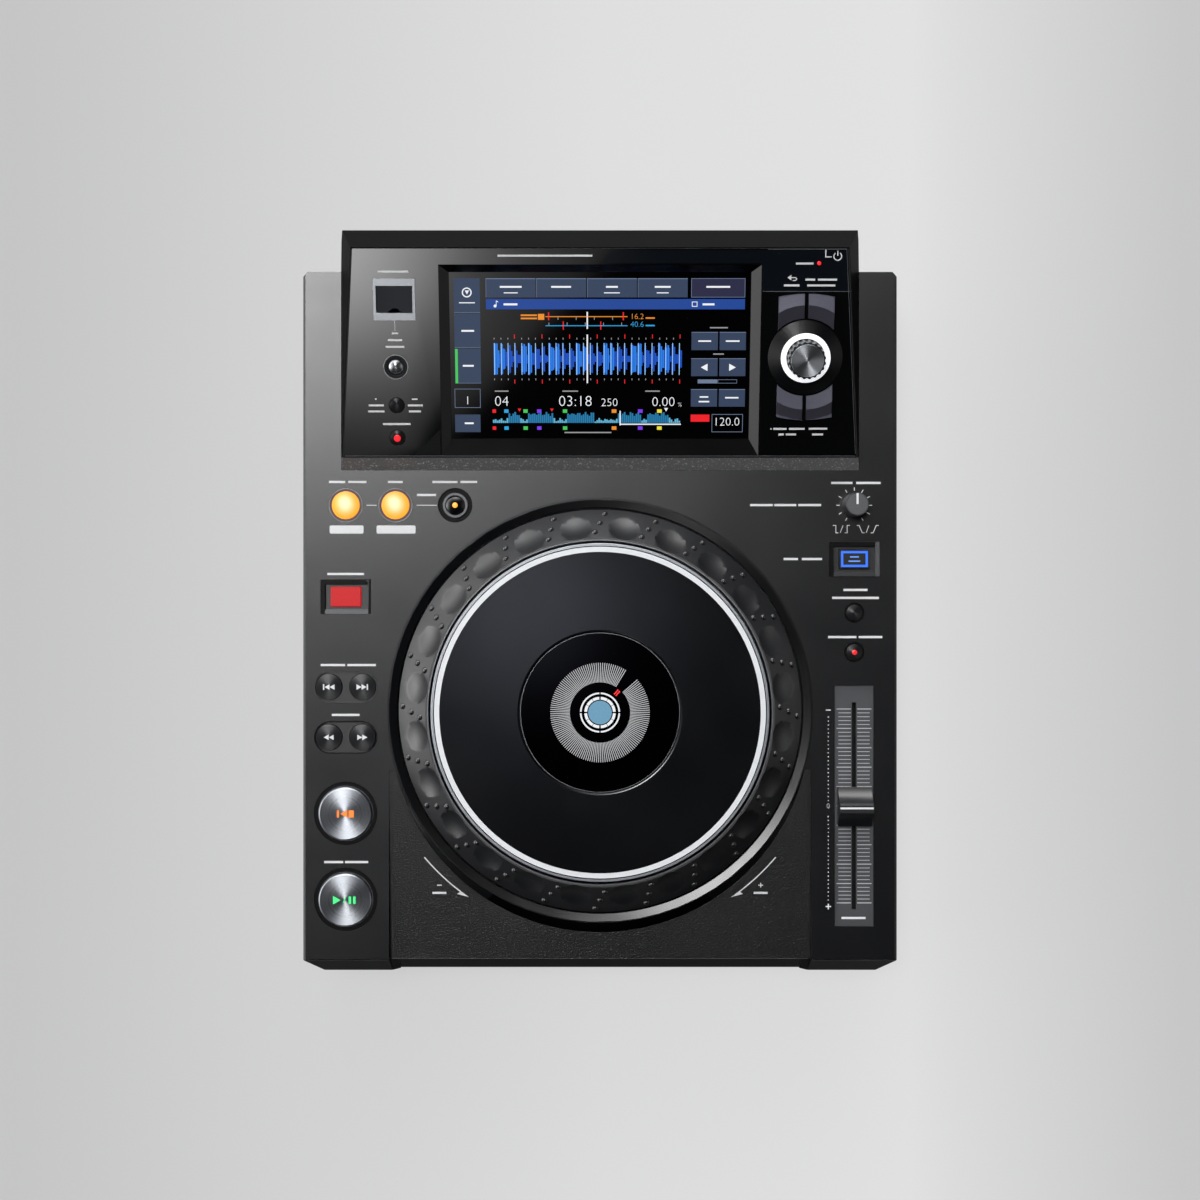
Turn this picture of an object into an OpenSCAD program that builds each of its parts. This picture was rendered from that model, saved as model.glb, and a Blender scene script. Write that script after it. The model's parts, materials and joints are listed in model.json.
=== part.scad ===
// Tabletop media player: a moulded case with a raised, tilted touch display, a large jog wheel,
// a tempo fader and push buttons on both sides.
// Origin: centre of the footprint on the table. +X right, +Y to the back, +Z up. Millimetres.

/* [Case] */
// Width of the deck on each side of the jog well
column_w = 43.5; // [42.5:0.5:47.5]
// Depth of the deck in front of the jog well
front_deck = 19; // [16:0.5:22]
// Depth of the deck between the jog well and the display housing
rear_deck = 20.54; // [18:0.02:26]
// Height of the deck above the table
deck_z = 72; // [68:0.5:80]
// Wall thickness of the moulded covers
wall = 2.5; // [2:0.1:3]
// How far the front nose stands in front of the deck edge
nose_run = 8.5; // [6:0.5:11]
// Height of the front nose above the table
nose_z = 52; // [44:1:58]
// Set-back of the case bottom under the nose
undercut = 8.5; // [5:0.5:11]
// Corner chamfer of the nose across the width
corner_x = 8.6; // [5:0.2:11]
// Chamfer along the top edges of the case
edge_cut = 1.2; // [0.6:0.1:1.8]
// Drop of the apron at the front edge
apron_drop = 5; // [3:0.5:6]
// Thickness of the steel plates
plate_t = 1.2; // [1:0.1:1.6]

/* [Display housing] */
// Tilt of the fascia in degrees
tilt = 15; // [13:0.5:16.5]
// Length of the fascia up the slope
fascia_len = 106.8; // [105:0.2:109]
// Height of the housing lip above the deck
lip_h = 6.5; // [5:0.5:9]
// Depth of the lip in plan
lip_run = 6.3; // [4:0.1:8]
// How far the housing reaches past the deck shoulders
overhang = 20; // [16:0.5:24]
// Width of the deck shoulder beside the housing
shoulder_w = 19.6; // [18:0.2:21]
// How far the lower back edge stands behind the top edge
back_run = 12.8; // [9:0.2:15]
// Height of the sloping back face
back_drop = 25.6; // [20:0.2:28]
// Lean of the housing sides, as run over rise
side_lean = 0.28; // [0.15:0.01:0.3]
// Thickness of the glossy fascia
fascia_t = 3; // [2.5:0.1:3.5]
// Width of the fascia on each side of the screen surround
panel_w = 52.4; // [51.6:0.2:54]
// Height of the fascia above the screen surround
brow = 8.8; // [6:0.1:12]
// Depth of the screen below the fascia
screen_deep = 4; // [3:0.1:5]
// Width of the sloped screen surround at the sides
bezel_side = 4.8; // [3.5:0.1:5.5]
// Width of the sloped screen surround above the screen
bezel_top = 4.1; // [3:0.1:6]
// Width of the sloped screen surround below the screen
bezel_foot = 8.2; // [6:0.1:9]

/* [Jog wheel] */
// Outer radius of the jog ring
jog_r = 103.5; // [100:0.5:104]
// Width of the jog ring from its edge to the top plate
jog_ring_w = 16.9; // [15.5:0.1:21.5]
// Height of the top plate above the deck
jog_h = 19; // [17:0.5:22]
// Radius of the fixed centre display
jog_display_r = 40.5; // [36:0.5:44]
// Width from the jog ring to the edge of its well
well_gap = 6; // [4.5:0.1:6.5]
// Press travel of the top plate
jog_press = 0.4; // [0.2:0.1:0.6]
// Number of finger dimples
dimples = 24; // [18:1:24]
// Radius of a finger dimple
dimple_r = 8.8; // [7.5:0.1:9]
// Depth of a finger dimple
dimple_deep = 1.5; // [1:0.1:1.8]

/* [Left column] */
// Distance of the control columns from the case sides
control_inset = 22; // [21.5:0.1:23]
// Play button centre behind the deck edge
play_at = 31.3; // [28:0.5:33]
// Cue button centre behind the deck edge
cue_at = 75.6; // [73:0.5:78]
// Search button row behind the deck edge
search_at = 114.8; // [113:0.2:117]
// Track button row behind the deck edge
track_at = 140.7; // [138:0.2:144]
// Reverse button behind the deck edge
reverse_at = 187.2; // [180:0.5:196]
// Loop button row in front of the display housing
loop_inset = 24.24; // [22.5:0.02:27]
// Radius of the play and cue buttons
play_r = 13.5; // [12:0.1:14]
// Radius of the loop buttons
loop_r = 7.1; // [6:0.1:7.6]
// Radius of the search and track buttons
search_r = 6.7; // [5.5:0.1:6.9]
// Travel of every push button
press = 0.8; // [0.5:0.1:1]

/* [Right column] */
// Jog mode button in front of the speed knob
jog_mode_step = 27.7; // [25.5:0.1:30]
// Tempo range button in front of the jog mode button
range_step = 27.7; // [25:0.1:30]
// Master tempo button in front of the tempo range button
master_step = 20.3; // [18:0.1:22]
// Fader travel to each side of its centre
fader_travel = 50; // [45:1:50]
// Radius of the small round buttons
small_r = 4.1; // [3.6:0.1:4.4]
// Radius of the speed knob
speed_r = 6.3; // [5:0.1:7]
// Height of the speed knob
speed_h = 14; // [10:0.5:16]

/* [Feet] */
// Height of the rubber feet
foot_h = 8; // [6:0.5:12]
// Radius of the rubber feet
foot_r = 11; // [9:0.5:13]

/* [Hidden] */
$fn = 96;

gap = 0.3;          // clearance of a part that moves or hangs over its seat
slip = 0.1;         // clearance of a part that drops into a hole and stays
fit = 0.05;         // running clearance of a shaft
over = 1;           // how far a cutter runs past a face

// case
well_r = jog_r + well_gap;
deck_len = front_deck + 2 * well_r + rear_deck;
case_w = 2 * (well_r + column_w);
case_d = nose_run + deck_len + fascia_len * cos(tilt) + back_run;
nose_y = -case_d / 2;
rear_y = case_d / 2;
deck_front = nose_y + nose_run;
shoulder_y = rear_y - overhang;
base_z = foot_h + plate_t;
under_z = deck_z - wall;
control_x = case_w / 2 - control_inset;

// display housing
housing_half = case_w / 2 - shoulder_w;
lip_lean = 1;       // how far the sides lean in over the height of the lip
rim_t = 0.8;        // housing rim left around the fascia
rim_foot_t = 0.5;   // the same along its lower edge
ledge = 2;          // width of the ledge that carries the fascia
fascia_y = rear_y - back_run - fascia_len * cos(tilt);
fascia_z = deck_z + lip_h;
top_y = fascia_y + fascia_len * cos(tilt);
top_z = fascia_z + fascia_len * sin(tilt);
back_low_z = top_z - back_drop;
roof_t = 6.5;       // depth of the housing roof behind the fascia
hatch_margin = 7;   // deck left around the opening under the housing
hatch_y = fascia_y + hatch_margin;
hatch_d = shoulder_y - hatch_margin - hatch_y;
hatch_w = 2 * (housing_half - hatch_margin - lip_lean);

// screen
bezel_v = rim_foot_t + slip;
screen_w = 2 * (housing_half - panel_w - bezel_side);
screen_h = fascia_len - bezel_v - bezel_foot - bezel_top - brow;
bezel_w = screen_w + 2 * bezel_side;
bezel_h = screen_h + bezel_top + bezel_foot;
bezel_back = screen_deep + 1;
screen_v = bezel_v + bezel_foot + screen_h / 2;
glass_t = 1.5;
glass_lap = 3;      // how far the glass reaches behind the surround
lcd_t = 6;
lcd_lap = 4;
lcd_tab_h = 60;
lcd_tab_t = 3;

// controls beside the screen
panel_x = -(housing_half - 30);
usb_v = fascia_len - 26.1;
usb_size = 21.2;
usb_open_w = 18.4;
usb_open_h = 13.6;
usb_proud = 0.6;    // frame height above the fascia
usb_deep = 12;      // depth of the frame
usb_socket_top = 11;
usb_socket_len = 14;
usb_board_deep = usb_socket_top + usb_socket_len;
flap_t = 1.2;
flap_top = 1;       // the flap lies this deep in its frame
flap_pin_r = flap_t / 2;
flap_pin_v = usb_open_h / 2 - flap_pin_r - gap;
flap_pin_end = 0.7; // length of the pin end in each side of the frame
stop_v = 46.6;
time_v = 26.9;
quantize_v = 10.2;
stop_r = 3.4;
stop_rim = 2.6;
mode_r = 3.8;

// selector right of the screen
dial_inset = 29.6;
dial_x = housing_half - dial_inset;
dial_v = 51.5;
dial_r = 18.9;      // foot of the cone
dial_h = 3;         // height of the cone
light_r = 12.6;
light_in = 1.8;     // width of the ledge under the light ring
knob_r = 9.5;
knob_cap_r = 8.3;
knob_h = 12.5;
knob_cap_t = 0.8;
knob_flutes = 20;
knob_foot = 1.2;    // the knob skirt starts this far below the fascia
plunger_r = 5;
plunger_flange = 1.4;
plunger_top = 2.6;
plunge = 0.6;       // push travel of the selector
shaft_r = 3;
shaft_end = 10.2;
wing_w = 14;        // half width of the four wing buttons
wing_gap = 1.05;    // half of the gap between two wing buttons
wing_len = 32;      // reach of the wing buttons from the selector centre
wing_end_r = 65;    // radius of their outer ends
wing_ridge_r = 26.5;
wing_ridge_z = 1.3;
wing_edge_z = 0.4;  // height of the wing buttons at both ends
wing_stem_v = 26.5;
wing_stem_x = (wing_gap + wing_w) / 2;
lcd_tab_w = panel_w - dial_inset - wing_w - wing_gap - 2 * gap; // fixing tab beside the display module

// jog wheel, heights from the deck where they say drop or rise
jog_y = deck_front + front_deck + well_r;
jog_z = deck_z + jog_h;
flank_lean = 1.2;   // run over rise of the well's outer flank
flank_r = well_r + apron_drop * flank_lean;
collar_r = jog_r + 1.2;
collar_lip = 0.6;
collar_drop = 0.95;
collar_foot = 8;
collar_wall = 2;    // wall of the cover around the collar
jog_edge = 1.5;     // height of the ring's vertical edge above and below the deck
jog_lip = 0.8;      // the ring ends this far below the plate
jog_land = 1.6;     // flat land on top of the ring
ring_t = 3;         // wall of the ring
plate_slit = 0.4;   // slit between the plate and its neighbours
jog_plate_r = jog_r - jog_ring_w;
jog_lip_r = jog_plate_r + plate_slit;
flank_rise = jog_h - jog_lip - jog_edge;
flank_run = jog_r - jog_lip_r - jog_land;
flank_angle = atan2(flank_rise, flank_run);
web_rise = 7;
web_z = deck_z + web_rise;
web_t = 2.5;
well_drop = 19;
well_floor_z = deck_z - well_drop;
well_top_z = well_floor_z + wall;
flange_r = well_r + collar_wall + gap;
flange_t = 2.5;
post_r = 15;
post_t = 6;
post_top = 6;       // the post ends this far below the plate
bearing_r = 22;
hub_r = 26;
hub_drop = 11;
plate_t2 = 2.5;     // thickness of the top plate
plate_rib = 2;      // wall of the ribs under the plate
display_t = 3.5;
display_sunk = 0.5;
display_foot = 6;
gear_teeth = 60;
pinion_teeth = 12;
gear_module = 1.5;
gear_z = deck_z - 8;
gear_t = 5;
gear_r = gear_teeth * gear_module / 2;
pinion_angle = -60;
pinion_dist = gear_r + pinion_teeth * gear_module / 2;
gear_play = 0.16;   // tooth thinning in degrees
pinion_play = 0.8;
axle_r = 2;
sleeve_r = 4;
disc_r = 14;        // slotted disc of the encoder
disc_t = 1;
disc_rise = 2;
disc_slots = 18;

// apron
apron_half = well_r - 0.8;
apron_y = jog_y - 30.6;
apron_inset = 1.5;  // the apron nose stays this far behind the pods
apron_flare = 4.5;  // width of the flared ends of the nose
apron_lip = 8;      // depth of the lip that rests on the floor plate

// buttons on the deck
loop_at = deck_len - loop_inset;
jog_mode_at = loop_at - jog_mode_step;
range_at = jog_mode_at - range_step;
master_at = range_at - master_step;
fader_at = master_at / 2;
loop_out_x = 25.6;  // second and third loop button from the column
reloop_x = 56.4;
pair_x = 8.65;      // half spacing of a button pair
play_rim = 2.9;     // width of the ring around each kind of button
loop_rim = 1.8;
small_rim = 1.2;
reloop_r = 4.75;
reloop_ring = 1.8;
key_w = 15.3;
key_h = 9.8;
key_frame_w = 26;
key_frame_h = 18;
key_rim_t = 1.2;
pod_w = 32.8;
pod_h = 16.8;
rim_foot = 3.7;     // depth of the rims below the deck
rim_lap = 1.2;      // how far the rims reach under the deck
loop_floor = 1.6;   // sunk floor of each kind of rim
key_floor = 2;
pair_floor = 1;
flange = 1.2;       // size of the retaining flange of a button
stem_r = 1.5;
stem_len = 12;      // stem end below the surface
switch_h = 3.5;
switch_w = 6;
switch_nub_r = 1.7;
board_t = 1.6;
board_drop = stem_len + press + gap + switch_h;
post_ring = 3;      // radius of the posts that carry the button boards
fascia_post_r = 1.5;
dial_post_v = wing_len + wing_gap + fascia_post_r + gap;

// fader
fader_w = 20.2;
fader_len = 2 * fader_travel + 24.3;
fader_deep = 1.2;   // the scale plate lies this far below the deck
slot_w = 2.2;
slot_len = 2 * fader_travel + 6.9;
lever_w = 1.4;
lever_len = 4;
rail_w = 14;
rail_t = 1.2;
rail_top = wall + 0.5;
carriage_w = 8;
carriage_h = 3;
cap_w = 17.5;
cap_len = 20;
cap_h = 12;
cap_ridge = 2.6;    // half width of the ridge
cap_shelf = 3.2;    // height of the low edges
cap_scoop = 1.4;    // depth of the finger scoops
cap_line = 0.9;     // width of the groove across the ridge
cap_lift = 0.6;     // gap under the cap

// rear sockets
socket_z = base_z + 28;
panel_y = shoulder_y - 1.5;
inlet_x = case_w / 2 - 41;
power_x = inlet_x - 34;
digital_x = 18;
audio_x = [-6, -24];
usb_b_x = 57 - case_w / 2;
network_x = usb_b_x + 32;
lock_x = 21 - case_w / 2;
jack_r = 4.15;
jack_len = 9;
jack_core_r = 1.6;
jack_wall = 0.5;
jack_nut = 1.2;
jack_box = 11;
inlet_w = 27;
inlet_h = 19.5;
inlet_deep = 16;
inlet_in_w = 24;
inlet_in_h = 16;
inlet_lap = 3;
power_w = 11;
power_h = 7;
power_len = 14;     // length of the button behind the panel
power_out = 3.5;
power_press = 2.5;
network_w = 16;
network_h = 14;
usb_b_w = 12;
usb_b_h = 11;
socket_len = 16;

// floor
foot_x = case_w / 2 - 28;
foot_front = nose_y + 31;
foot_rear = shoulder_y - 21;
boss_x = case_w / 2 - 8;
boss_mid_at = (track_at + pod_h / 2 + reverse_at - key_frame_h / 2) / 2;
boss_ys = [deck_front + 8, deck_front + boss_mid_at, shoulder_y - 14];
boss_r = 3.6;
screw_r = 1.5;
screw_head_r = 3;
screw_head_h = 1.8;
screw_len = 12;
vent_w = 2.5;
vent_pitch = 6;
board_rise = 6;     // height of the standing boards above the floor plate
board_inset = 13;   // boards stay this far inside the case sides
board_space = 15;   // space between the two standing boards
psu_w = 84;
psu_d = 104;
rear_flange = 12;   // depth of the rear panel's foot flange

deck_black = "#232427";
satin_black = "#1b1c1e";
gloss_black = "#0b0b0d";
dark_metal = "#54565a";
chip_black = "#2a2b2e";
board_green = "#1e5a36";
silver = "#c9ccd0";
amber = "#ff9a1f";

// ---- placing ----
module along_x(len) {
  translate([-len / 2, 0, 0])
    rotate([90, 0, 90])
      linear_extrude(len)
        children();
}

module along_y(y0, y1) {
  translate([0, y1, 0])
    rotate([90, 0, 0])
      linear_extrude(y1 - y0)
        children();
}

module on_deck(x, at) {
  translate([x, deck_front + at, deck_z])
    children();
}

module on_fascia(u, v) {
  translate([u, fascia_y + v * cos(tilt), fascia_z + v * sin(tilt)])
    rotate([tilt, 0, 0])
      children();
}

module at_jog() {
  translate([0, jog_y, 0])
    children();
}

module at_pinion() {
  at_jog()
    rotate([0, 0, pinion_angle])
      translate([pinion_dist, 0, 0])
        children();
}

module at_rear(x) {
  translate([x, panel_y, socket_z])
    children();
}

// ---- plain solids, centred in plan, from z0 up to z1 ----
module block(w, d, z0, z1) {
  translate([-w / 2, -d / 2, z0])
    cube([w, d, z1 - z0]);
}

module disc(r, z0, z1) {
  translate([0, 0, z0])
    cylinder(r = r, h = z1 - z0);
}

module tube(r_out, r_in, z0, z1) {
  difference() {
    disc(r_out, z0, z1);
    disc(r_in, z0 - over, z1 + over);
  }
}

module stadium(w, h, z0, z1) {
  block(w - h, h, z0, z1);
  for (side = [-1, 1])
    translate([side * (w - h) / 2, 0, 0])
      disc(h / 2, z0, z1);
}

// a block behind the rear panel, from y0 to y1 and centred on x and z
module rear_block(w, h, y0, y1) {
  translate([-w / 2, y0, -h / 2])
    cube([w, y1 - y0, h]);
}

// ---- case ----
module case_solid() {
  intersection() {
    along_x(case_w)
      polygon([[shoulder_y, base_z], [shoulder_y, deck_z], [deck_front, deck_z], [nose_y, nose_z],
        [nose_y + undercut, base_z]]);
    along_y(nose_y, shoulder_y)
      polygon([[-case_w / 2, base_z], [case_w / 2, base_z], [case_w / 2, deck_z - edge_cut],
        [case_w / 2 - edge_cut, deck_z], [edge_cut - case_w / 2, deck_z],
        [-case_w / 2, deck_z - edge_cut]]);
    translate([0, 0, base_z])
      linear_extrude(deck_z - base_z)
        polygon([[-case_w / 2, deck_front], [corner_x - case_w / 2, nose_y],
          [case_w / 2 - corner_x, nose_y], [case_w / 2, deck_front],
          [case_w / 2, shoulder_y - 2 * edge_cut], [case_w / 2 - 2 * edge_cut, shoulder_y],
          [2 * edge_cut - case_w / 2, shoulder_y], [-case_w / 2, shoulder_y - 2 * edge_cut]]);
  }
}

module case_cavity() {
  inner_x = case_w / 2 - wall;
  inner_front = deck_front + wall / 2;
  intersection() {
    along_x(2 * inner_x)
      polygon([[shoulder_y + over, base_z - over], [shoulder_y + over, under_z],
        [inner_front, under_z], [nose_y + wall * 1.2, nose_z],
        [nose_y + undercut + wall, base_z - over]]);
    translate([0, 0, base_z - over])
      linear_extrude(deck_z)
        polygon([[-inner_x, inner_front], [corner_x - inner_x, nose_y + wall],
          [inner_x - corner_x, nose_y + wall], [inner_x, inner_front],
          [inner_x, shoulder_y + over], [-inner_x, shoulder_y + over]]);
  }
}

module apron_region(margin) {
  translate([-apron_half - margin, nose_y - over, base_z - over])
    cube([2 * (apron_half + margin), apron_y - nose_y + over, deck_z]);
}

module screw_places() {
  for (side = [-1, 1], y = boss_ys)
    translate([side * boss_x, y, 0])
      children();
}

module foot_places() {
  for (x = [-foot_x, foot_x], y = [foot_front, foot_rear])
    translate([x, y, 0])
      children();
}

module board_posts() {
  small_half = small_r + small_rim;
  for (spot = [[-control_x, (play_at + cue_at) / 2], [-control_x, boss_mid_at],
      [control_x, (range_at + master_at) / 2],
      [control_x, (range_at + small_half + jog_mode_at - key_frame_h / 2) / 2]])
    on_deck(spot[0], spot[1])
      disc(post_ring, -board_drop, -wall + slip);
}

module deck_holes() {
  for (x = [0, loop_out_x, reloop_x])
    on_deck(-control_x + x, loop_at)
      disc(loop_r + loop_rim, -wall - over, over);
  for (at = [cue_at, play_at])
    on_deck(-control_x, at)
      disc(play_r + play_rim, -wall - over, over);
  for (at = [range_at, master_at])
    on_deck(control_x, at)
      disc(small_r + small_rim, -wall - over, over);
  for (at = [search_at, track_at])
    on_deck(-control_x, at)
      stadium(pod_w, pod_h, -wall - over, over);
  on_deck(-control_x, reverse_at)
    block(key_frame_w, key_frame_h, -wall - over, over);
  on_deck(control_x, jog_mode_at)
    block(key_frame_w, key_frame_h, -wall - over, over);
  on_deck(control_x, fader_at)
    block(fader_w, fader_len, -wall - over, over);
  on_deck(control_x, loop_at)
    disc(shaft_r + 1.5, -wall - over, over);
  translate([0, hatch_y + hatch_d / 2, deck_z])
    block(hatch_w, hatch_d, -wall - over, over);
}

module top_cover() {
  color(deck_black)
    difference() {
      union() {
        difference() {
          case_solid();
          case_cavity();
          apron_region(0);
        }
        intersection() {
          case_solid();
          for (side = [-1, 1])
            translate([side * (apron_half + wall / 2), (nose_y + apron_y) / 2, 0])
              block(wall, apron_y - nose_y, base_z, deck_z);
        }
        at_jog()
          disc(well_r + collar_wall, deck_z - collar_foot, deck_z - apron_drop);
        intersection() {
          at_jog()
            translate([0, 0, deck_z - apron_drop])
              cylinder(r1 = flank_r, r2 = well_r, h = apron_drop);
          apron_region(wall);
        }
        screw_places()
          disc(boss_r, base_z, under_z + slip);
        board_posts();
      }
      at_jog()
        disc(well_r, deck_z - collar_foot - over, deck_z + over);
      deck_holes();
      screw_places()
        disc(screw_r + slip, base_z - over, base_z + screw_len + over);
    }
}

// the apron's section, with its nose set back by inset
module apron_section(inset) {
  front_z = deck_z - apron_drop;
  skin = wall * 1.2;
  along_x(2 * (apron_half - slip))
    polygon([[apron_y + slip, deck_z], [deck_front, front_z], [nose_y + inset, nose_z],
      [nose_y + undercut, base_z], [nose_y + undercut + wall + apron_lip, base_z],
      [nose_y + undercut + wall + apron_lip, base_z + wall], [nose_y + undercut + wall, base_z + wall],
      [nose_y + inset + skin, nose_z], [deck_front + wall / 2, front_z - wall],
      [apron_y + slip, under_z]]);
}

module front_apron() {
  color(satin_black)
    difference() {
      union() {
        apron_section(apron_inset);
        intersection() {
          apron_section(0);
          for (side = [-1, 1])
            linear_extrude(deck_z)
              polygon([[side * apron_half, nose_y], [side * (apron_half - apron_flare), nose_y + apron_inset],
                [side * (apron_half - apron_flare), deck_front], [side * apron_half, deck_front]]);
        }
      }
      at_jog() {
        translate([0, 0, deck_z - apron_drop])
          cylinder(r1 = flank_r + slip, r2 = well_r + slip, h = apron_drop);
        disc(flank_r + slip, deck_z - 2 * collar_foot, deck_z - apron_drop);
        disc(well_r + slip, deck_z - collar_foot, deck_z + over);
      }
    }
}

module bottom_plate() {
  front = nose_y + undercut + wall;
  vent_len = 40;
  vent_x = 70;
  color("#3a3b3e")
    difference() {
      translate([wall - case_w / 2, front, foot_h])
        cube([case_w - 2 * wall, panel_y - front, plate_t]);
      screw_places()
        disc(screw_r + slip, foot_h - over, base_z + over);
      foot_places()
        disc(screw_r + slip, foot_h - over, base_z + over);
      for (side = [-1, 1], i = [0:11])
        translate([side * vent_x, foot_front + vent_len + i * vent_pitch, 0])
          block(vent_len, vent_w, foot_h - over, base_z + over);
      for (i = [-5:5])
        translate([i * vent_pitch, foot_rear - vent_len / 2, 0])
          block(vent_w, vent_len, foot_h - over, base_z + over);
    }
}

module rear_panel() {
  half = case_w / 2 - wall - slip;
  color("#2b2c2f")
    difference() {
      union() {
        translate([-half, panel_y - plate_t, base_z])
          cube([2 * half, plate_t, under_z - slip - base_z]);
        translate([rear_flange - half, panel_y - rear_flange, base_z])
          cube([2 * (half - rear_flange), rear_flange, plate_t]);
      }
      at_rear(inlet_x)
        rear_block(inlet_w, inlet_h, -over - plate_t, over);
      at_rear(power_x)
        rear_block(power_w + 2 * gap, power_h + 2 * gap, -over - plate_t, over);
      at_rear(network_x)
        rear_block(network_w + 2 * slip, network_h + 2 * slip, -over - plate_t, over);
      at_rear(usb_b_x)
        rear_block(usb_b_w + 2 * slip, usb_b_h + 2 * slip, -over - plate_t, over);
      at_rear(lock_x)
        rear_block(7, 3, -over - plate_t, over);
      for (x = concat(audio_x, [digital_x]))
        at_rear(x)
          rotate([90, 0, 0])
            disc(jack_r + jack_nut + slip, -over, plate_t + over);
    }
}

// ---- display housing ----
function half_at(z) = housing_half - lip_lean - side_lean * (z - fascia_z);

module housing_section(inset) {
  high = top_z + over;
  foot = housing_half - inset;
  polygon([[-foot, deck_z - over], [foot, deck_z - over], [foot, deck_z], [half_at(fascia_z) - inset, fascia_z],
    [half_at(high) - inset, high], [inset - half_at(high), high], [inset - half_at(fascia_z), fascia_z],
    [-foot, deck_z]]);
}

// the fascia narrows up the slope, because the housing sides lean in
module fascia_outline(inset) {
  low = half_at(fascia_z) - rim_t - inset;
  high = low - side_lean * sin(tilt) * fascia_len;
  polygon([[-low, rim_foot_t + inset], [low, rim_foot_t + inset],
    [high, fascia_len - rim_t - inset], [-high, fascia_len - rim_t - inset]]);
}

module display_housing() {
  skin = 1.4 * wall;
  color(deck_black)
    difference() {
      intersection() {
        along_x(case_w)
          polygon([[fascia_y - lip_run, deck_z], [fascia_y, fascia_z], [top_y, top_z],
            [rear_y, back_low_z], [shoulder_y + gap, deck_z]]);
        along_y(fascia_y - lip_run, rear_y)
          housing_section(0);
      }
      intersection() {
        along_x(case_w)
          polygon([[fascia_y - lip_run + skin, deck_z - over], [fascia_y + wall, fascia_z - skin],
            [top_y - wall, top_z - roof_t], [top_y, top_z - roof_t], [rear_y - skin, back_low_z + over],
            [shoulder_y - over, deck_z + wall], [shoulder_y - over, deck_z - over]]);
        along_y(fascia_y - lip_run, rear_y)
          housing_section(wall);
      }
      on_fascia(0, 0)
        translate([0, 0, -fascia_t])
          linear_extrude(fascia_t + over)
            fascia_outline(-slip);
      on_fascia(0, 0)
        translate([0, 0, -roof_t - wall])
          linear_extrude(roof_t + wall)
            fascia_outline(ledge);
      on_fascia(0, bezel_v + bezel_h / 2)
        block(bezel_w + 2 * slip, bezel_h, -roof_t - wall, over);
    }
}

// outline of one of the four buttons around the selector, grown by slack
module wing_outline(side_x, side_v, slack) {
  reach = wing_len + slack;
  intersection() {
    translate([side_x > 0 ? wing_gap - slack : -wing_w - slack, side_v > 0 ? 0 : -reach])
      square([wing_w - wing_gap + 2 * slack, reach]);
    translate([0, side_v * (wing_len - wing_end_r)])
      circle(r = wing_end_r + slack, $fn = 180);
    difference() {
      circle(r = wing_len + wing_w);
      circle(r = dial_r + gap + (wing_gap - slack) / 2);
    }
  }
}

// posts under the fascia, each down to its board
module fascia_posts() {
  on_fascia(panel_x, (stop_v + time_v) / 2)
    disc(fascia_post_r, -board_drop, slip - fascia_t);
  for (side = [-1, 1]) {
    on_fascia(panel_x + side * (usb_size / 2 + 2 * fascia_post_r - gap), usb_v)
      disc(fascia_post_r, -usb_board_deep, slip - fascia_t);
    on_fascia(dial_x, dial_v + side * dial_post_v)
      disc(fascia_post_r, -board_drop, slip - fascia_t);
  }
}

module display_fascia() {
  color(gloss_black)
    difference() {
      union() {
        on_fascia(0, 0)
          translate([0, 0, -fascia_t])
            linear_extrude(fascia_t)
              fascia_outline(0);
        fascia_posts();
      }
      on_fascia(0, bezel_h / 2)
        block(bezel_w, bezel_h + 2 * (bezel_v + slip), -fascia_t - over, over);
      on_fascia(panel_x, usb_v)
        block(usb_size, usb_size, -fascia_t - over, over);
      on_fascia(panel_x, stop_v)
        disc(stop_r + stop_rim, -fascia_t - over, over);
      for (v = [time_v, quantize_v])
        on_fascia(panel_x, v)
          disc(mode_r + gap, -fascia_t - over, over);
      on_fascia(dial_x, dial_v) {
        disc(light_r + light_in, -fascia_t - over, over);
        for (side_x = [-1, 1], side_v = [-1, 1])
          translate([0, 0, -fascia_t - over])
            linear_extrude(fascia_t + 2 * over)
              wing_outline(side_x, side_v, gap);
      }
    }
}

// four-sided funnel around the screen, from the glass up past the fascia
module screen_funnel() {
  grow = (screen_deep + over) / screen_deep;
  x0 = screen_w / 2;
  x1 = x0 + bezel_side * grow;
  low0 = -screen_h / 2;
  high0 = screen_h / 2;
  low1 = low0 - bezel_foot * grow;
  high1 = high0 + bezel_top * grow;
  z0 = -screen_deep;
  polyhedron(
    points = [[-x0, low0, z0], [x0, low0, z0], [x0, high0, z0], [-x0, high0, z0],
      [-x1, low1, over], [x1, low1, over], [x1, high1, over], [-x1, high1, over]],
    faces = [[0, 1, 2, 3], [4, 7, 6, 5], [0, 4, 5, 1], [1, 5, 6, 2], [2, 6, 7, 3], [3, 7, 4, 0]]);
}

module screen_bezel() {
  color(satin_black)
    difference() {
      on_fascia(0, bezel_v + bezel_h / 2)
        block(bezel_w - 2 * slip, bezel_h - 2 * slip, -bezel_back, 0);
      on_fascia(0, screen_v) {
        screen_funnel();
        block(screen_w, screen_h, -bezel_back - over, -screen_deep + over / 100);
      }
    }
}

module touch_glass() {
  color("#101216")
    on_fascia(0, screen_v)
      block(screen_w + 2 * glass_lap, screen_h + 2 * glass_lap, -bezel_back - glass_t, -bezel_back);
}

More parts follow.
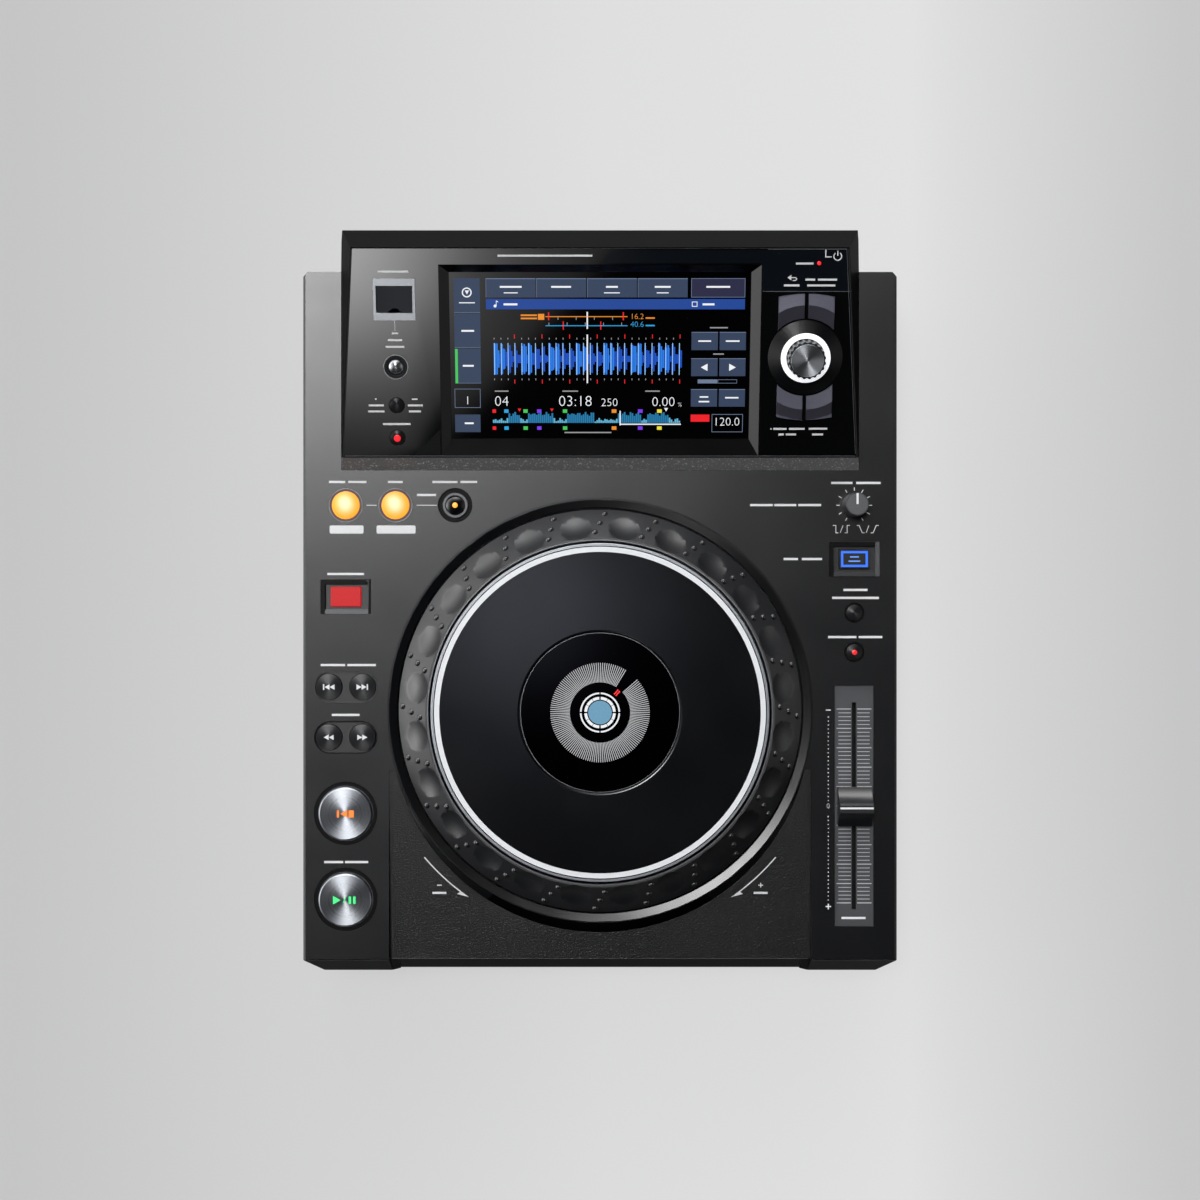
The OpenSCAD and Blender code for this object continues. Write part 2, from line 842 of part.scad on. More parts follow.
module lcd_module() {
  top = -bezel_back - glass_t;
  tab_end = bezel_w / 2 + gap + lcd_tab_w;
  color(silver) {
    on_fascia(0, screen_v)
      block(screen_w + 2 * lcd_lap, screen_h + lcd_lap, top - lcd_t, top);
    for (side = [-1, 1]) {
      on_fascia(side * (tab_end - lcd_tab_w), screen_v)
        block(2 * lcd_tab_w, lcd_tab_h, top - lcd_tab_t, top);
      on_fascia(side * (tab_end - lcd_tab_w / 2), screen_v)
        block(lcd_tab_w, lcd_tab_h, top - lcd_tab_t, -fascia_t);
    }
  }
}

// ---- controls on the fascia ----
module flap_pin(r, len) {
  translate([-len / 2, flap_pin_v, -flap_top - flap_pin_r])
    rotate([0, 90, 0])
      cylinder(r = r, h = len);
}

module usb_frame() {
  color(silver)
    on_fascia(panel_x, usb_v)
      difference() {
        block(usb_size - 2 * slip, usb_size - 2 * slip, -usb_deep, usb_proud);
        block(usb_open_w, usb_open_h, -usb_deep - over, usb_proud + over);
        flap_pin(flap_pin_r + fit, usb_open_w + 2);
      }
}

module usb_flap() {
  low = -usb_open_h / 2 + gap;
  notch_r = 4;
  notch_v = low - 1.9;
  color("#15171a")
    on_fascia(panel_x, usb_v)
      difference() {
        union() {
          translate([0, (flap_pin_v + low) / 2, 0])
            block(usb_open_w - 2 * gap, flap_pin_v - low, -flap_top - flap_t, -flap_top);
          flap_pin(flap_pin_r, usb_open_w - 2 * gap);
          flap_pin(flap_pin_r, usb_open_w + 2 * flap_pin_end);
        }
        translate([0, notch_v, 0.2])
          sphere(r = notch_r);
      }
}

module usb_socket() {
  shell_w = 13.2;
  shell_h = 5.8;
  shell_t = 0.35;
  tongue_w = 11.1;
  tongue_t = 1.84;
  color(silver)
    on_fascia(panel_x, usb_v) {
      difference() {
        block(shell_w, shell_h, -usb_board_deep, -usb_socket_top);
        block(shell_w - 2 * shell_t, shell_h - 2 * shell_t, over - usb_board_deep, -usb_socket_top + over);
      }
      translate([0, tongue_t / 2, 0])
        block(tongue_w, tongue_t, -usb_board_deep, -usb_socket_top - over);
    }
}

// a round cap with a retaining flange and a stem down to its switch; under is the depth of its seat
module push_button(r, top, under) {
  deep = -under - gap;
  disc(r, deep - flange, top);
  disc(r + flange, deep - flange, deep);
  disc(stem_r, -stem_len, deep);
}

// as push_button, with a spherical crown that rises by dome
module domed_button(r, top, under, dome) {
  crown_r = (r * r + dome * dome) / (2 * dome);
  deep = -under - gap;
  intersection() {
    disc(r, deep - flange, top);
    translate([0, 0, top - crown_r])
      sphere(r = crown_r, $fn = 128);
  }
  disc(r + flange, deep - flange, deep);
  disc(stem_r, -stem_len, deep);
}

module usb_stop_button() {
  color(silver)
    on_fascia(panel_x, stop_v)
      domed_button(stop_r, 1.6, fascia_t, 1.3);
}

module mode_button(v) {
  color(gloss_black)
    on_fascia(panel_x, v)
      domed_button(mode_r, 1, fascia_t, 0.8);
}

module time_mode_button() { mode_button(time_v); }
module quantize_button() { mode_button(quantize_v); }

module wing_button(side_x, side_v) {
  deep = -fascia_t - gap;
  color("#4a4b56")
    on_fascia(dial_x, dial_v) {
      intersection() {
        translate([0, 0, deep - flange])
          linear_extrude(wing_ridge_z + over - deep + flange)
            wing_outline(side_x, side_v, 0);
        rotate_extrude($fn = 180)
          polygon([[0, deep - flange], [wing_len + wing_w, deep - flange], [wing_len + wing_w, 0],
            [wing_len, wing_edge_z], [wing_ridge_r, wing_ridge_z], [dial_r, wing_edge_z], [0, 0]]);
      }
      translate([0, 0, deep - flange])
        linear_extrude(flange)
          wing_outline(side_x, side_v, wing_gap - gap);
      translate([side_x * wing_stem_x, side_v * wing_stem_v, 0])
        disc(stem_r, -stem_len, deep);
    }
}

module back_button() { wing_button(-1, 1); }
module tag_button() { wing_button(1, 1); }
module filter_button() { wing_button(-1, -1); }
module shortcut_button() { wing_button(1, -1); }

module selector_bezel() {
  color(gloss_black)
    on_fascia(dial_x, dial_v)
      difference() {
        union() {
          cylinder(r1 = dial_r, r2 = light_r + gap, h = dial_h);
          disc(light_r + light_in - slip, -fascia_t - over, over / 2);
        }
        disc(light_r, over, dial_h + over);
        disc(light_r - light_in, -fascia_t - 2 * over, 2 * over);
      }
}

module selector_light() {
  color("white")
    on_fascia(dial_x, dial_v)
      tube(light_r - slip, knob_r + gap, over, dial_h + gap);
}

module selector_encoder() {
  body_w = 14;
  neck_r = 7;
  neck_top = 5;
  body_top = 9;
  color(dark_metal)
    on_fascia(dial_x, dial_v)
      difference() {
        union() {
          block(body_w, body_w, -board_drop, -body_top);
          disc(neck_r, -body_top, -neck_top);
        }
        disc(plunger_r + fit, -shaft_end - 2 * gap - wall - plunge, 0);
      }
}

module selector_plunger() {
  flange_low = plunger_top + 1;
  color(silver)
    on_fascia(dial_x, dial_v)
      difference() {
        union() {
          disc(plunger_r, -shaft_end - gap - wall, -flange_low);
          disc(plunger_r + plunger_flange, -flange_low, -plunger_top);
        }
        disc(shaft_r + fit, -shaft_end - gap, 0);
      }
}

module selector_knob() {
  flute_r = 1.2;
  color(silver)
    on_fascia(dial_x, dial_v) {
      difference() {
        disc(knob_r, -knob_foot, knob_h - knob_cap_t);
        for (i = [0:knob_flutes - 1])
          rotate([0, 0, i * 360 / knob_flutes])
            translate([knob_r + flute_r / 2, 0, 0])
              disc(flute_r, -knob_foot - over, knob_h);
      }
      disc(knob_cap_r, 0, knob_h);
      disc(shaft_r, -shaft_end, 0);
    }
}

// ---- controls on the deck ----
// a round ring around a button, with its floor sunk below the deck
module round_rim(r_cap, r_hole, sunk) {
  difference() {
    union() {
      disc(r_hole - slip, -rim_foot, -sunk);
      disc(r_hole + rim_lap, -rim_foot, -wall);
    }
    disc(r_cap + gap, -rim_foot - over, over);
  }
}

module key_rim() {
  difference() {
    union() {
      block(key_frame_w - 2 * slip, key_frame_h - 2 * slip, -rim_foot, gap);
      block(key_frame_w + 2 * rim_lap, key_frame_h + 2 * rim_lap, -rim_foot, -wall);
    }
    block(key_frame_w - 2 * key_rim_t, key_frame_h - 2 * key_rim_t, -key_floor, over);
    block(key_w + 2 * gap, key_h + 2 * gap, -rim_foot - over, over);
  }
}

module pair_rim() {
  difference() {
    union() {
      stadium(pod_w - 2 * slip, pod_h - 2 * slip, -rim_foot, slip);
      stadium(pod_w + 2 * slip, pod_h + 2 * rim_lap, -rim_foot, -wall);
    }
    stadium(pod_w - key_rim_t, pod_h - key_rim_t, -pair_floor, over);
    for (side = [-1, 1])
      translate([side * pair_x, 0, 0])
        disc(search_r + gap, -rim_foot - over, over);
  }
}

module button_rims() {
  color(satin_black) {
    for (x = [0, loop_out_x])
      on_deck(-control_x + x, loop_at)
        round_rim(loop_r, loop_r + loop_rim, loop_floor);
    on_deck(-control_x + reloop_x, loop_at) {
      round_rim(reloop_r, loop_r + loop_rim, loop_floor + gap);
      tube(reloop_r + reloop_ring, reloop_r + gap, -loop_floor - 2 * gap, -gap);
    }
    for (at = [cue_at, play_at])
      on_deck(-control_x, at)
        round_rim(play_r, play_r + play_rim, slip);
    for (at = [range_at, master_at])
      on_deck(control_x, at)
        round_rim(small_r, small_r + small_rim, gap);
    for (at = [search_at, track_at])
      on_deck(-control_x, at)
        pair_rim();
    on_deck(-control_x, reverse_at)
      key_rim();
    on_deck(control_x, jog_mode_at)
      key_rim();
    on_fascia(panel_x, stop_v)
      difference() {
        disc(stop_r + stop_rim - slip, -fascia_t, gap);
        disc(stop_r + gap, -fascia_t - over, over);
        disc(stop_r + stop_rim / 2, -over, over);
      }
  }
}

module loop_button(x) {
  color(amber)
    on_deck(-control_x + x, loop_at)
      domed_button(loop_r, 1, rim_foot, 0.7);
}

module loop_in_button() { loop_button(0); }
module loop_out_button() { loop_button(loop_out_x); }

module reloop_button() {
  color(satin_black)
    on_deck(-control_x + reloop_x, loop_at)
      domed_button(reloop_r, 1.8, rim_foot, 1.8);
}

module key_button() {
  deep = -rim_foot - gap;
  block(key_w, key_h, deep - flange, 2 * gap);
  block(key_w + 2 * flange, key_h + 2 * flange, deep - flange, deep);
  disc(stem_r, -stem_len, deep);
}

module reverse_button() {
  color("#e0262c")
    on_deck(-control_x, reverse_at)
      key_button();
}

module jog_mode_button() {
  color("#1f66ff")
    on_deck(control_x, jog_mode_at)
      key_button();
}

module search_button(side, at) {
  color(satin_black)
    on_deck(-control_x + side * pair_x, at)
      domed_button(search_r, 0.9, rim_foot, 0.5);
}

module track_back_button() { search_button(-1, track_at); }
module track_forward_button() { search_button(1, track_at); }
module search_back_button() { search_button(-1, search_at); }
module search_forward_button() { search_button(1, search_at); }

module transport_button(at) {
  top = 2.6;
  edge = 0.5;
  color(silver)
    on_deck(-control_x, at) {
      push_button(play_r, top, rim_foot);
      translate([0, 0, top])
        cylinder(r1 = play_r, r2 = play_r - edge, h = edge);
    }
}

module cue_button() { transport_button(cue_at); }
module play_button() { transport_button(play_at); }

module small_button(at) {
  color(gloss_black)
    on_deck(control_x, at)
      domed_button(small_r, 1, rim_foot, 0.8);
}

module tempo_range_button() { small_button(range_at); }
module master_tempo_button() { small_button(master_at); }

module speed_pot() {
  body_w = 11;
  body_top = 7;
  color(dark_metal)
    on_deck(control_x, loop_at)
      difference() {
        union() {
          block(body_w, body_w + over, -board_drop, -body_top);
          disc(shaft_r + 1.3, -body_top, -slip);
        }
        disc(shaft_r + fit, -shaft_end - 2 * gap, over);
      }
}

module speed_knob() {
  line_deep = 0.3;
  color(satin_black)
    on_deck(control_x, loop_at) {
      difference() {
        translate([0, 0, gap])
          cylinder(r1 = speed_r, r2 = speed_r - 0.5, h = speed_h - gap);
        translate([0, speed_r / 2, speed_h - line_deep])
          block(cap_line, speed_r, 0, over);
      }
      disc(shaft_r, -shaft_end, over);
    }
}

module fader_plate() {
  color("#4c4d52")
    on_deck(control_x, fader_at)
      difference() {
        block(fader_w - 2 * slip, fader_len - 2 * slip, -rail_top, -fader_deep);
        block(slot_w, slot_len, -rail_top - over, over);
      }
}

module fader_rail() {
  color("#8d9094")
    on_deck(control_x, fader_at)
      difference() {
        block(rail_w, fader_len - 2 * slip, -board_drop, -rail_top);
        block(rail_w - 2 * rail_t, slot_len + 2 * carriage_w, -board_drop + rail_t, -rail_top - rail_t);
        block(slot_w + 2 * gap, slot_len, -rail_top - 2 * rail_t, 0);
      }
}

module fader_cap() {
  low = cap_lift - fader_deep;
  rise = cap_h - cap_shelf;
  run = cap_len / 2 - cap_ridge;
  chord = norm([run, rise]);
  scoop_r = (chord * chord / 4 + cap_scoop * cap_scoop) / (2 * cap_scoop);
  out = (scoop_r - cap_scoop) / chord;
  mid_z = -(rail_top + board_drop) / 2;
  color(satin_black)
    on_deck(control_x, fader_at) {
      difference() {
        along_x(cap_w)
          polygon([[-cap_len / 2, low], [cap_len / 2, low], [cap_len / 2, cap_shelf],
            [cap_ridge, cap_h], [-cap_ridge, cap_h], [-cap_len / 2, cap_shelf]]);
        for (side = [-1, 1])
          translate([-cap_w, side * ((cap_len / 2 + cap_ridge) / 2 + out * rise), (cap_shelf + cap_h) / 2 + out * run])
            rotate([0, 90, 0])
              cylinder(r = scoop_r, h = 2 * cap_w);
        translate([0, 0, cap_h - gap])
          block(cap_w + over, cap_line, 0, over);
      }
      block(lever_w, lever_len, mid_z, low + over);
      block(carriage_w, lever_len, mid_z - carriage_h, mid_z);
    }
}

// ---- jog wheel ----
module jog_collar() {
  outer = well_r - slip;
  color(gloss_black)
    at_jog()
      rotate_extrude($fn = 180)
        polygon([[collar_r, deck_z - collar_foot], [outer, deck_z - collar_foot], [outer, deck_z],
          [outer - collar_lip, deck_z], [collar_r, deck_z - collar_drop]]);
}

module jog_base() {
  wall_r = jog_r + wall;
  flange_z = deck_z - collar_foot - flange_t;
  color(satin_black) {
    at_jog()
      rotate_extrude($fn = 180)
        polygon([[post_r - post_t, well_floor_z], [wall_r, well_floor_z], [wall_r, flange_z],
          [flange_r, flange_z], [flange_r, flange_z + flange_t], [jog_r, flange_z + flange_t],
          [jog_r, well_top_z], [post_r, well_top_z], [post_r, jog_z - post_top],
          [post_r - post_t, jog_z - post_top]]);
    at_pinion()
      disc(axle_r, well_floor_z, gear_z + gear_t + 2 * over);
  }
}

module jog_bearing() {
  color("#a8abb0")
    at_jog() {
      tube(bearing_r, post_r + fit, well_top_z, web_z - over);
      tube(hub_r, post_r + fit, well_top_z, deck_z - hub_drop - gap);
    }
}

function gear_point(r, a) = [r * cos(a), r * sin(a)];

// straight-sided teeth: root, pitch and tip radius, thinned by play degrees
function gear_outline(teeth, play) =
  let (pitch = teeth * gear_module / 2,
    tip = pitch + gear_module * 0.8,
    root = pitch - gear_module * 1.1,
    half = 90 / teeth - play)
  [for (i = [0:teeth - 1])
    let (a = i * 360 / teeth)
    for (p = [gear_point(root, a - half * 1.55), gear_point(pitch, a - half),
        gear_point(tip, a - half * 0.42), gear_point(tip, a + half * 0.42),
        gear_point(pitch, a + half), gear_point(root, a + half * 1.55)]) p];

module jog_ring() {
  ball_r = (dimple_r * dimple_r + dimple_deep * dimple_deep) / (2 * dimple_deep);
  low_z = deck_z - jog_edge;
  flank_z = deck_z + jog_edge;
  lip_z = jog_z - jog_lip;
  mid_r = jog_r - flank_run / 2;
  mid_z = flank_z + flank_rise / 2;
  roof_z = lip_z - ring_t * 1.6;
  roof_r = jog_r - flank_run * (roof_z - flank_z) / flank_rise;
  bore = bearing_r + fit;
  web_low = web_z - web_t;
  wall_r = jog_lip_r + plate_rib;
  color("#26272b")
    at_jog() {
      difference() {
        rotate_extrude($fn = 180)
          polygon([[bore, deck_z - hub_drop], [hub_r, deck_z - hub_drop], [hub_r, web_low],
            [wall_r, web_low], [wall_r, roof_z], [max(wall_r, roof_r - ring_t), roof_z],
            [jog_r - ring_t, flank_z - gap], [jog_r - ring_t, low_z], [jog_r, low_z], [jog_r, flank_z],
            [jog_lip_r + jog_land, lip_z], [jog_lip_r, lip_z], [jog_lip_r, web_z], [bore, web_z]]);
        for (i = [0:dimples - 1])
          rotate([0, 0, (i + 0.5) * 360 / dimples])
            translate([mid_r, 0, mid_z])
              rotate([0, 90 - flank_angle, 0])
                translate([0, 0, ball_r - dimple_deep])
                  sphere(r = ball_r, $fn = 64);
      }
      translate([0, 0, gear_z])
        linear_extrude(gear_t)
          difference() {
            polygon(gear_outline(gear_teeth, gear_play));
            circle(r = hub_r - over);
          }
    }
}

module jog_plate() {
  rib_z = web_z + jog_press + gap;
  hole_r = jog_display_r + plate_slit;
  color("#141518")
    at_jog() {
      tube(jog_plate_r, hole_r, jog_z - plate_t2, jog_z);
      tube(hole_r + plate_rib, hole_r, rib_z, jog_z - plate_t2 + slip);
      tube(jog_plate_r - plate_rib, jog_plate_r - 2 * plate_rib, rib_z, jog_z - plate_t2 + slip);
    }
}

module jog_display() {
  low = jog_z - display_sunk - display_t;
  color(gloss_black)
    at_jog() {
      disc(jog_display_r, low, jog_z - display_sunk);
      disc(jog_display_r - display_foot, jog_z - post_top, low);
    }
}

module encoder_pinion() {
  disc_z = well_top_z + disc_rise;
  tooth_over = 0.5;
  slot_len = 3;
  color("#d8d4c8")
    at_pinion()
      difference() {
        union() {
          translate([0, 0, gear_z - tooth_over])
            linear_extrude(gear_t + 2 * tooth_over)
              rotate([0, 0, 180 + 180 / pinion_teeth])
                polygon(gear_outline(pinion_teeth, pinion_play));
          disc(sleeve_r, well_top_z + gap, gear_z);
          disc(disc_r, disc_z, disc_z + disc_t);
        }
        disc(axle_r + fit, well_floor_z, deck_z);
        for (i = [0:disc_slots - 1])
          rotate([0, 0, i * 360 / disc_slots])
            translate([disc_r - slot_len, 0, 0])
              block(slot_len, slot_len / 2, disc_z - over, disc_z + disc_t + over);
      }
}

// ---- electronics ----
module tact_switch() {
  top = -stem_len - press - gap;
  block(switch_w, switch_w, -board_drop - slip, top - over);
  disc(switch_nub_r, -board_drop + over, top);
}

module flat_board(w, d) {
  block(w, d, -board_drop - board_t, -board_drop);
}

// light barrier around the rim of the slotted disc
module light_barrier() {
  slot_z = well_top_z + disc_rise - over;
  translate([disc_r + over, 0, 0])
    difference() {
      block(8, 8, well_top_z, slot_z + 6);
      translate([-3, 0, 0])
        block(8, 10, slot_z, slot_z + disc_t + 2 * over);
    }
}

module control_boards() {
  board_w = 33;
  side_x = case_w / 2 - wall - over - board_w / 2;
  side_from = 12;
  side_to = loop_at + 13;
  small_d = 18;
  panel_w = 30;
  panel_to = stop_v + 18;
  panel_from = 6;
  dial_d = 2 * (dial_post_v + fascia_post_r + gap);
  color(board_green) {
    difference() {
      for (side = [-1, 1])
        on_deck(side * side_x, (side_from + side_to) / 2)
          flat_board(board_w, side_to - side_from);
      screw_places()
        disc(boss_r + gap, base_z, deck_z);
    }
    on_deck(-control_x + (loop_out_x + reloop_x) / 2, loop_at)
      flat_board(reloop_x, small_d);
    on_fascia(panel_x, (panel_from + panel_to) / 2)
      flat_board(panel_w, panel_to - panel_from);
    on_fascia(panel_x, usb_v)
      block(panel_w, small_d, -usb_board_deep - board_t, -usb_board_deep);
    on_fascia(dial_x, dial_v)
      flat_board(panel_w, dial_d);
  }
  color(chip_black) {
    for (x = [0, loop_out_x, reloop_x])
      on_deck(-control_x + x, loop_at)
        tact_switch();
    for (at = [cue_at, play_at, reverse_at])
      on_deck(-control_x, at)
        tact_switch();
    for (side = [-1, 1], at = [search_at, track_at])
      on_deck(-control_x + side * pair_x, at)
        tact_switch();
    for (at = [range_at, master_at, jog_mode_at])
      on_deck(control_x, at)
        tact_switch();
    for (v = [stop_v, time_v, quantize_v])
      on_fascia(panel_x, v)
        tact_switch();
    for (side_x = [-1, 1], side_v = [-1, 1])
      on_fascia(dial_x + side_x * wing_stem_x, dial_v + side_v * wing_stem_v)
        tact_switch();
    at_pinion()
      light_barrier();
  }
}

module standing_board(w, d) {
  foot = 5;
  block(w, d, base_z + board_rise, base_z + board_rise + board_t);
  for (side_x = [-1, 1], side_y = [-1, 1])
    translate([side_x * (w / 2 - foot), side_y * (d / 2 - foot), 0])
      disc(foot / 2, base_z, base_z + board_rise);
}

module main_board() {
  top = base_z + board_rise + board_t;
  board_w = case_w - 2 * board_inset - board_space - psu_w;
  board_d = 116;
  riser_w = digital_x - usb_b_x + 21;
  riser_h = socket_z + jack_box - top;
  chip_w = 24;
  chip_h = 3;
  fin_h = 7;
  chips_x = [-50, 40, 65];
  color(board_green)
    translate([(digital_x + usb_b_x) / 2, panel_y - socket_len - board_t, top - slip])
      translate([-riser_w / 2, 0, 0])
        cube([riser_w, board_t, riser_h]);
  translate([board_inset + (board_w - case_w) / 2, panel_y - socket_len - board_d / 2, 0]) {
    color(board_green)
      standing_board(board_w, board_d);
    color(chip_black) {
      block(chip_w, chip_w, top, top + chip_h);
      for (x = [-10.5:3:10.5])
        translate([x, 0, 0])
          block(1, chip_w, top + chip_h, top + chip_h + fin_h);
      for (x = chips_x)
        translate([x, -10, 0])
          block(14, 10, top, top + 2);
    }
  }
}

module power_board() {
  top = base_z + board_rise + board_t;
  translate([(case_w - psu_w) / 2 - board_inset, panel_y - rear_flange - gap - psu_d / 2, 0]) {
    color("#9a6b3a")
      standing_board(psu_w, psu_d);
    color("#d6c04a")
      translate([-4, -18, 0])
        block(34, 30, top, top + 24);
    color(chip_black)
      for (x = [-28, 28])
        translate([x, -40, 0])
          disc(7, top, top + 20);
  }
}

module power_inlet() {
  color("#17181a")
    at_rear(inlet_x) {
      difference() {
        union() {
          rear_block(inlet_w - 2 * slip, inlet_h - 2 * slip, -inlet_deep - 2, 1);
          rear_block(inlet_w + 2 * inlet_lap, inlet_h + inlet_lap, 0, 2);
        }
        rear_block(inlet_in_w, inlet_in_h, -inlet_deep, 3);
      }
      for (pin = [[-7, -3.5], [7, -3.5], [0, 3.5]])
        translate([pin[0], 0, pin[1]])
          rear_block(2, 4, -inlet_deep - 1, -4);
    }
}

module power_switch() {
  front = -power_len + 4;
  box_w = power_w + 4;
  box_h = power_h + 4;
  box_len = 20;
  board_top = base_z + board_rise + board_t - socket_z;
  color(dark_metal)
    at_rear(power_x) {
      difference() {
        rear_block(box_w, box_h, front - box_len, front);
        rear_block(power_w + 2 * gap, power_h + 2 * gap, -power_len - power_press - over, front + over);
      }
      translate([0, front - box_len / 2, 0])
        block(box_w / 2, box_len / 2, board_top, -box_h / 2);
    }
}

module power_button() {
  stop_t = 2;
  color(satin_black)
    at_rear(power_x) {
      rear_block(power_w, power_h, -power_len, power_out);
      rear_block(power_w + 4, power_h + 4, -plate_t - gap - stop_t, -plate_t - gap);
    }
}

module audio_jack() {
  rotate([-90, 0, 0]) {
    difference() {
      union() {
        disc(jack_r, 0, jack_len);
        disc(jack_r + jack_nut, -plate_t, over);
        block(jack_box, jack_box, -socket_len, -plate_t);
      }
      disc(jack_r - jack_wall, 2 * over, jack_len + over);
    }
    tube(jack_r - 3 * jack_wall, jack_core_r, over, jack_len - over);
  }
}

module audio_jacks() {
  color(silver)
    for (x = concat(audio_x, [digital_x]))
      at_rear(x)
        audio_jack();
}

module network_socket() {
  open_w = 11.8;
  open_deep = 12;
  difference() {
    rear_block(network_w, network_h, -socket_len, 1);
    translate([0, 0, -0.5])
      rear_block(open_w, 7, -open_deep, 2);
    translate([0, 0, -4])
      rear_block(open_w / 2, 3, -open_deep, 2);
  }
}

module usb_b_socket() {
  open_w = 8.8;
  open_h = 8.6;
  open_deep = 10;
  difference() {
    rear_block(usb_b_w, usb_b_h, -socket_len, 1);
    rear_block(open_w, open_h, -open_deep, 2);
  }
  translate([0, 0, 2.2])
    rear_block(5.6, 3.2, -open_deep - 1, -1);
}

module data_sockets() {
  color("#9fa2a6") {
    at_rear(network_x)
      network_socket();
    at_rear(usb_b_x)
      usb_b_socket();
  }
}

// ---- feet and fasteners ----
module feet() {
  color("#111214")
    foot_places()
      difference() {
        cylinder(r1 = foot_r - over, r2 = foot_r, h = foot_h);
        disc(screw_head_r + over, -over, foot_h / 2);
        disc(screw_r + slip, 0, foot_h + over);
      }
}

// head downwards, shank up, drawn from the seat of the head
module pan_screw(len) {
  cross_w = 0.9;
  cross_len = 3.6;
  disc(screw_r, -over / 2, len);
  difference() {
    disc(screw_head_r, -screw_head_h, 0);
    block(cross_len, cross_w, -2 * screw_head_h, -screw_head_h / 2);
    block(cross_w, cross_len, -2 * screw_head_h, -screw_head_h / 2);
  }
}

module screws() {
  color("#2c2d30") {
    screw_places()
      translate([0, 0, foot_h])
        pan_screw(screw_len);
    foot_places()
      translate([0, 0, foot_h / 2])
        pan_screw(foot_h / 2 + plate_t + 2);
  }
}

top_cover();
front_apron();
bottom_plate();
rear_panel();
display_housing();
display_fascia();
screen_bezel();
touch_glass();
lcd_module();
usb_frame();
usb_socket();
usb_flap();
usb_stop_button();
time_mode_button();
quantize_button();
back_button();
tag_button();
filter_button();
shortcut_button();
selector_bezel();
selector_light();
selector_encoder();
selector_plunger();
selector_knob();
button_rims();
loop_in_button();
loop_out_button();
reloop_button();
reverse_button();
track_back_button();
track_forward_button();
search_back_button();
search_forward_button();
cue_button();
play_button();
jog_mode_button();
tempo_range_button();
master_tempo_button();
speed_pot();
speed_knob();
fader_plate();
fader_rail();
fader_cap();
jog_collar();
jog_base();
jog_bearing();
jog_ring();
jog_plate();
jog_display();
encoder_pinion();
control_boards();
main_board();
power_board();
power_inlet();
power_switch();
power_button();
audio_jacks();
data_sockets();
feet();
screws();
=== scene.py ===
"""Dresses the tabletop media player: finishes, softened edges, printed legends, lit displays and studio.

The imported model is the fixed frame. Each sub-assembly is a class that holds its sizes and dresses its own
nodes. The pieces that the model leaves plain, such as legends and lit graphics, are modelled here and ride
on the body that carries them. All lengths in the dataclasses and tables are millimetres.
"""

import json
import logging
import math
from dataclasses import dataclass, field
from enum import Enum
from typing import Callable, Iterable, List, Optional, Sequence, Tuple, Union

import bpy
from mathutils import Matrix, Vector


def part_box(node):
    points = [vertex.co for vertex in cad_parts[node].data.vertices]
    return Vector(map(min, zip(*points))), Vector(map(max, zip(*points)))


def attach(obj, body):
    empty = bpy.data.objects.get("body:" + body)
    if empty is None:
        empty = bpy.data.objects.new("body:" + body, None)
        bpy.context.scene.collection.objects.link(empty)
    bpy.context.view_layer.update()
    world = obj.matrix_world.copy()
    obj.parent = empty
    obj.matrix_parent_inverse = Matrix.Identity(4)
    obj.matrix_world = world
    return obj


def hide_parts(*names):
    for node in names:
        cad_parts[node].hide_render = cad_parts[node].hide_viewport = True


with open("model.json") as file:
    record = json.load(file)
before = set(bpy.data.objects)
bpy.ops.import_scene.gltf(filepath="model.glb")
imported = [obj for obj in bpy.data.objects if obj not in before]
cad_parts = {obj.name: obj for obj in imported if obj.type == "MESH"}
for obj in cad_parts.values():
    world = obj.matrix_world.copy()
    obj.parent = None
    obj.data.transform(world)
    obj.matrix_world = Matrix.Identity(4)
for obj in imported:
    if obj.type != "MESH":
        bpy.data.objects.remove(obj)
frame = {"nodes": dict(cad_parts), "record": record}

log = logging.getLogger("player")
MM = 0.001
Point = Tuple[float, float]
Triple = Tuple[float, float, float]
Piece = bpy.types.Object
Node = bpy.types.Node
Socket = bpy.types.NodeSocket
Test = Callable[[Vector, Vector], bool]

UP = (0.0, 0.0, 1.0)


class Element(Enum):
    """The parts of a mesh that can be picked."""

    FACE = "polygons"
    EDGE = "edges"
    VERT = "vertices"


class Layer(Enum):
    """The layers of the sound wave on the display."""

    BODY = "body"
    LOUD = "loud"
    BEAT = "beat"


def hex_linear(code: str, alpha: float = 1.0) -> Tuple[float, float, float, float]:
    """Turns an sRGB hex colour into the linear colour that the shaders take.

    Args:
        code: the colour as "#rrggbb".
        alpha: the fourth value.

    Returns:
        Linear red, green, blue and alpha.
    """
    parts = [int(code[i:i + 2], 16) / 255 for i in (1, 3, 5)]
    line = [c / 12.92 if c <= 0.04045 else ((c + 0.055) / 1.055) ** 2.4 for c in parts]
    return line[0], line[1], line[2], alpha


def add_node(tree: bpy.types.NodeTree, kind: str, settings: Optional[dict] = None,
             links: Optional[dict] = None) -> Node:
    """Adds one node with its settings and links.

    Args:
        tree: the node tree that gets it.
        kind: the node's type name without its common start, such as "TexNoise".
        settings: values by attribute name or by input name or number.
        links: sockets that feed its inputs, by input name or number, or nodes, each of which feeds from
            its first output in use.

    Returns:
        The new node.
    """
    node = tree.nodes.new("ShaderNode" + kind)
    for key, value in (settings or {}).items():
        if isinstance(key, str) and hasattr(node, key):
            setattr(node, key, value)
        else:
            node.inputs[key].default_value = value
    for key, source in (links or {}).items():
        if isinstance(source, Node):
            source = next(socket for socket in source.outputs if socket.enabled)
        tree.links.new(source, node.inputs[key])
    return node


